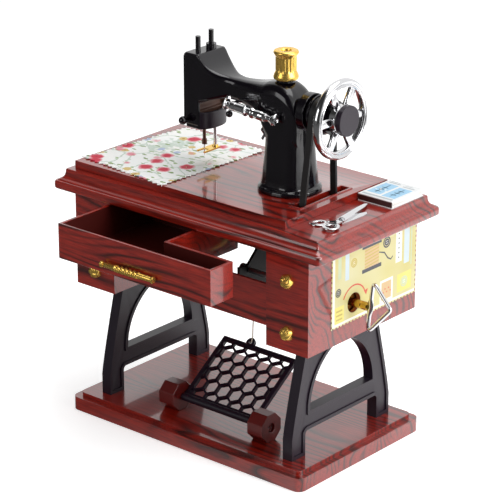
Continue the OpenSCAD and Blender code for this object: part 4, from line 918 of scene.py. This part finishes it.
def makeSticker():
    (y0, y1), (z0, z1) = sticker["y"], sticker["z"]
    paper = newMaterial("glossy cream sticker paper", "#efe7b4", 0, 0.3)
    tree = paper.node_tree
    soft = addNode(tree, "TexNoise", {"Vector": objectCoords(paper), "Scale": 0.035, "Detail": 1})
    creams = [(0.4, "#ddd7a9"), (0.62, "#d5ca84")]
    link(paper, addNode(tree, "ValToRGB", {"Fac": soft}, creams), "Base Color")
    inks = {name: newMaterial(f"{name} print on sticker", colour, 0, 0.3) for name, colour in (
        ("white", "#f7f6ea"), ("yellow", "#e9dd7c"), ("green", "#c9d3b2"), ("blue", "#cfdde4"), ("ochre", "#c9b45a"),
        ("slate", "#4a4a52"), ("red", "#d8563f"), ("tan", "#d9b98a"))}
    # stamp edge: round bites along all four sides
    outline, r = [], sticker["bite"]
    for a, b, along, inward in edgesOf([Vector(p) for p in ((y0, z0), (y1, z0), (y1, z1), (y0, z1))]):
        count = round((b - a).length / sticker["pitchMm"])
        step = (b - a).length / count
        outline.append(tuple(a))
        for k in range(count):
            mid = a + along * step * (k + 0.5)
            outline += [tuple(mid - along * u + inward * v) for u, v in arc(0, 0, r, r, range(0, 181, 30))]
    hole = disc(*sticker["key"], sticker["hole"], 48)
    parts = [plate("paper", sticker["x"], outline, sticker["thick"], paper, hole)]
    top = sticker["x"] + sticker["thick"] - 0.01

    def ink(name, outline, hole=None, layer=0):
        parts.append(plate("print", top, outline, 0.025 + layer * 0.012, inks[name], hole))

    def box(ya, za, yb, zb):
        return [(ya, za), (yb, za), (yb, zb), (ya, zb)]

    # strips of ribbon and patches, then a reel of thread, side on: ink, box, layer
    for name, corners, layer in (
            ("white", (y0 + 0.8, z0 + 0.8, y0 + 2.3, z1 - 0.8), 0),
            ("white", (y0 + 2.3, z0 + 0.8, y1 - 0.8, z0 + 2), 0), ("blue", (-13.6, 92.5, -10.8, z1 - 1.8), 0),
            ("green", (-18.6, 94.5, -16.4, z1 - 1.8), 0), ("white", (23.2, 90.2, 27.8, z1 - 1.8), 0),
            ("blue", (29.4, 88.2, 33.4, z1 - 1.8), 0), ("green", (34.4, 86.5, 35.4, z1 - 1.8), 0),
            ("yellow", (-20.8, 73.6, -14.2, 81.5), 0), ("ochre", (-19.8, 75, -15.4, 75.8), 1),
            ("ochre", (-19.8, 77, -15.4, 77.8), 1), ("ochre", (-19.8, 79, -15.4, 79.8), 1),
            ("white", (11.8, 73.8, 21.4, 84.6), 0), ("tan", (13, 75, 20.2, 83.4), 1),
            ("yellow", (24.6, 75.2, 35.2, 84), 0), ("slate", (-1.5, 92.2, 12.5, 94), 0),
            ("slate", (-1.5, 103.6, 12.5, 105.4), 0), ("tan", (0.4, 94, 10.6, 103.6), 0)):
        ink(name, box(*corners), layer=layer)
    for z in (94.4 + k * 1.55 for k in range(6)):
        ink("ochre", [(0.4, z), (10.6, z + 0.9), (10.6, z + 1.4), (0.4, z + 0.5)], layer=1)
    thread = [(10.6, 99), (14.5, 97.6), (17, 94.4), (19.6, 93), (21, 94.2), (20.8, 94.7), (19.5, 93.7),
              (17.4, 94.9), (14.8, 98.2), (10.6, 99.5)]
    ink("slate", thread, layer=1)
    # buttons with four holes: place, radius, ink
    for y, z, r, name in ((16.4, 102.4, 2.7, "slate"), (-7.4, 99.4, 2.2, "ochre"), (29.8, 79.6, 2.6, "green"),
                          (-18.4, 88.2, 2, "slate")):
        ink(name, disc(y, z, r), disc(y, z, r * 0.74), 1)
        ink(name, disc(y, z, r * 0.62), layer=1)
        for spot in arc(y, z, r * 0.26, r * 0.26, (45, 135, 225, 315)):
            ink("white", disc(*spot, r * 0.1, 12), layer=2)
    # stitches and dots
    for k in range(7):
        ink("slate", disc(25.5, 92.4 + k * 2.3, 0.4, 12), layer=1)
    for k in range(5):
        ink("red", box(14 + k * 1.3, 78 + (k % 2) * 1.6, 14.7 + k * 1.3, 78.7 + (k % 2) * 1.6), layer=2)
    # winding arrow round the key
    y, z = sticker["key"]
    ink("red", arc(y, z, 8.7, 8.7, range(25, 156, 5)) + arc(y, z, 8, 8, range(155, 24, -5)), layer=1)
    (u, v), = arc(y + 0.9, z - 1.9, 8.35, 8.35, [22])
    ink("red", [(u, v), (u + 1.3, v + 2.6), (u - 1.6, v + 2.2)], layer=1)
    settle(merged("sideSticker", parts), "frame", "label_paper", "side_label")


makeSticker()
print("book and sticker made")

# cloth

cloth = {"corners": [(-72.6, -32), (-16.6, -37.8), (-13.2, 31.4), (-66.2, 34.2)], "z": 123.44, "thickMm": 0.36,
         "toothMm": 3.1, "toothDeepMm": 1.3, "lift": 0.17, "liftReach": 4, "ripple": 0.05, "gridMm": 1.6,
         "foldY": -36.9, "fall": 0.35}


def clothMaterial():
    # plain-weave printed cotton: matt, soft sheen, small sprigs of roses scattered on white
    material = newMaterial("printed plain-weave cotton", "#fbfcf8", 0, 0.85, Sheen_Weight=0.25, Sheen_Roughness=0.4)
    tree = material.node_tree
    flat = objectCoords(material, (1, 1, 0))
    ground = addNode(tree, "TexNoise", {"Vector": flat, "Scale": 0.05, "Detail": 1})
    colour = addNode(tree, "ValToRGB", {"Fac": ground}, [(0.4, "#fbfdfb"), (0.7, "#fffefa")])
    # stems first, then leaves, small buds, roses and their centres
    prints = [("stem", 0.062, 0.33, "#b9cdbb", 1, 3), ("leaf", 0.12, 0.19, "#86a062", 2.4, 11),
              ("leafB", 0.13, 0.17, "#a3bd84", 2.2, 29), ("blue", 0.075, 0.13, "#b7c5e0", 1, 41),
              ("gold", 0.08, 0.16, "#dcc07a", 1, 57), ("goldHeart", 0.08, 0.05, "#a9773a", 1, 57),
              ("pink", 0.088, 0.29, "#e78f9c", 1, 7), ("rose", 0.088, 0.22, "#cf2140", 1, 7),
              ("heart", 0.088, 0.06, "#8a1028", 1, 7), ("eye", 0.088, 0.028, "#f0d08a", 1, 7)]
    for name, scale, size, shade, squash, seed in prints:
        wobble = addNode(tree, "TexNoise", {"Vector": flat, "Scale": 0.35, "Detail": 1})
        bent = addNode(tree, "VectorMath", {0: wobble.outputs["Color"], "Scale": 2.2}, operation="SCALE")
        shift = addNode(tree, "VectorMath", {0: flat, 1: bent}, operation="ADD")
        swung = addNode(tree, "Mapping", {
            "Vector": shift, "Rotation": (0, 0, radians(seed * 13)),
            "Location": (seed * 3.7, seed * 1.9, 0), "Scale": (1, squash, 1)})
        cells = addNode(tree, "TexVoronoi", {"Vector": swung, "Scale": scale})
        if name == "stem":
            cells.feature = "DISTANCE_TO_EDGE"
            stops = [(0, 0.75), (0.018, 0.6), (0.03, 0)]
        else:
            cells.inputs["Randomness"].default_value = 0.85
            stops = [(0, 1), (size, 1), (size * 1.25, 0)]
        mask = addNode(tree, "ValToRGB", {"Fac": cells.outputs["Distance"]}, stops)
        mix = addNode(tree, "Mix", {"A": colour, "B": linear(shade), "Factor": mask}, data_type="RGBA")
        colour = mix.outputs["Result"]
    link(material, colour, "Base Color")
    # the weave, drawn coarser than thread
    weave = addNode(tree, "TexNoise", {"Vector": flat, "Scale": 2, "Detail": 2})
    link(material, addNode(tree, "Bump", {"Height": weave, "Distance": 0.12 * mm, "Strength": 0.4}), "Normal")
    return material


def makeCloth():
    corners = [Vector(c) for c in cloth["corners"]]
    sides = list(edgesOf(corners))
    outline = []
    for a, b, along, inward in sides:
        count = round((b - a).length / cloth["toothMm"])
        for k in range(count):
            outline.append(a + (b - a) * k / count)
            outline.append(a + (b - a) * (k + 0.5) / count + inward * cloth["toothDeepMm"])
    # a grid inside the pinked outline
    shape = bmesh.new()
    shape.faces.new([shape.verts.new((p.x, p.y, 0)) for p in outline])
    grid = cloth["gridMm"]
    for normal, lo, hi in ((Vector((1, 0, 0)), -72, -12), (Vector((0, 1, 0)), -40, 36)):
        for k in range(int((hi - lo) / grid)):
            bmesh.ops.bisect_plane(shape, geom=shape.verts[:] + shape.edges[:] + shape.faces[:],
                                   plane_co=normal * (lo + grid * (k + 0.5)), plane_no=normal)
    # edges lift a little, the middle ripples, and the front edge bends down over the bed's rounded edge
    for v in shape.verts:
        x, y = v.co.x, v.co.y
        near = min(abs((v.co.to_2d() - a).dot(inward)) for a, b, along, inward in sides)
        lift = cloth["lift"] * exp(-near / cloth["liftReach"]) * (1 + sin(x * 0.32 + y * 0.21))
        ripple = cloth["ripple"] * sin(x * 0.5) * sin(y * 0.4) ** 2
        v.co.z = cloth["z"] + lift + ripple - max(0, cloth["foldY"] - y) * cloth["fall"]
        v.co *= mm
    piece = dressPiece(fromShape("floralCloth", shape), clothMaterial(), 60)
    thick = piece.modifiers.new("thick", "SOLIDIFY")
    thick.thickness = cloth["thickMm"] * mm
    thick.offset = 1
    bake(piece)
    settle(piece, "frame", "cloth", "cloth_mat")


makeCloth()
print("cloth made")


# studio

studio = {"aimMm": (3.66, 0, 87.55), "azimuth": 40.44, "elevation": 20.81, "distanceMm": 1108.65, "lensMm": 172.28,
          "fill": 0.34, "glow": 0.5, "darkSide": (-0.35, -0.93, 0), "lamps": {  # place, aim, size, watts
              "rightBox": ((0.75, 0.1, 0.42), (0, 0, 0.1), (0.5, 0.5), 4.2),
              "topBox": ((0.1, 0.15, 0.9), (0, 0, 0.1), (0.7, 0.5), 3.2),
              "frontFill": ((-0.25, -0.9, 0.45), (0, 0, 0.09), (0.5, 0.5), 1.8)}}


def aimed(name, data, place, way):
    thing = bpy.data.objects.new(name, data)
    thing.location = place
    thing.rotation_mode = "QUATERNION"
    thing.rotation_quaternion = way.to_track_quat("-Z", "Y")
    scene.collection.objects.link(thing)
    return thing


def placeCamera():
    a, e = radians(studio["azimuth"]), radians(studio["elevation"])
    back = Vector((sin(a) * cos(e), -cos(a) * cos(e), sin(e)))
    data = bpy.data.cameras.new("camera")
    data.lens = studio["lensMm"]
    data.sensor_width = 36
    data.clip_start, data.clip_end = 0.05, 10
    place = (Vector(studio["aimMm"]) + back * studio["distanceMm"]) * mm
    scene.camera = aimed("camera", data, place, -back)


def softbox(name, place, aim, size, watts):
    data = bpy.data.lights.new(name, "AREA")
    data.shape = "RECTANGLE"
    data.size, data.size_y = size
    data.energy = watts
    aimed(name, data, place, Vector(aim) - Vector(place))


placeCamera()
for name, values in studio["lamps"].items():
    softbox(name, *values)

# white surroundings for the camera and for gloss; a dimmer, even fill for everything else
world = bpy.data.worlds.new("studio")
scene.world = world
world.use_nodes = True
tree = world.node_tree
tree.nodes.clear()
rays = addNode(tree, "LightPath").outputs
clear = addNode(tree, "Math", {0: rays["Is Glossy Ray"], 1: rays["Is Transmission Ray"]}, operation="MAXIMUM")
seen = addNode(tree, "Math", {0: rays["Is Camera Ray"], 1: clear}, operation="MAXIMUM")
# in reflections the room is white behind, above and to the right, and dark in front and to the left
way = addNode(tree, "TexCoord").outputs["Generated"]
near = addNode(tree, "VectorMath", {0: way, 1: studio["darkSide"]}, operation="DOT_PRODUCT").outputs["Value"]
dim = addNode(tree, "ValToRGB", {"Fac": near}, [(0, 1), (0.12, 0.5), (0.28, 0.035), (0.7, 0.035), (0.9, 0.12)])
dark = addNode(tree, "Math", {0: 1, 1: dim}, operation="SUBTRACT")
taken = addNode(tree, "Math", {0: rays["Is Glossy Ray"], 1: dark}, operation="MULTIPLY")
fill = addNode(tree, "Math", {0: seen, 1: 1 - studio["fill"], 2: studio["fill"]}, operation="MULTIPLY_ADD")
strength = addNode(tree, "Math", {0: fill, 1: taken}, operation="SUBTRACT")
sky = addNode(tree, "Background", {"Color": linear("#ffffff"), "Strength": strength})
addNode(tree, "OutputWorld", {"Surface": sky})

half, drop = 1.6, -0.0002
card = newMaterial("pale studio card", "#f2f2f2", 0, 0.9)
floor = newPiece("floor", [(-half, -half, drop), (half, -half, drop), (half, half, drop), (-half, half, drop)],
                 [(0, 1, 2, 3)], card, millimetres=False)
# the card glows for the camera, and is dark in reflections towards the dark side
tree = card.node_tree
rays = addNode(tree, "LightPath").outputs
spot = addNode(tree, "TexCoord").outputs["Object"]
near = addNode(tree, "VectorMath", {0: spot, 1: studio["darkSide"]}, operation="DOT_PRODUCT").outputs["Value"]
dim = addNode(tree, "ValToRGB", {"Fac": near}, [(0, 0), (0.07, 0.94)])
taken = addNode(tree, "Math", {0: rays["Is Glossy Ray"], 1: dim}, operation="MULTIPLY")
lit = addNode(tree, "Math", {0: 1, 1: taken}, operation="SUBTRACT")
seen = addNode(tree, "Math", {0: rays["Is Camera Ray"], 1: rays["Is Glossy Ray"]}, operation="MAXIMUM")
glow = addNode(tree, "Math", {0: lit, 1: studio["glow"]}, operation="MULTIPLY")
link(card, addNode(tree, "Math", {0: seen, 1: glow}, operation="MULTIPLY"), "Emission Strength")
link(card, addNode(tree, "CombineColor", {"Red": lit, "Green": lit, "Blue": lit}), "Base Color")
tree.nodes["Principled BSDF"].inputs["Emission Color"].default_value = linear("#ffffff")
scene.view_settings.view_transform = "Standard"
print("studio set")
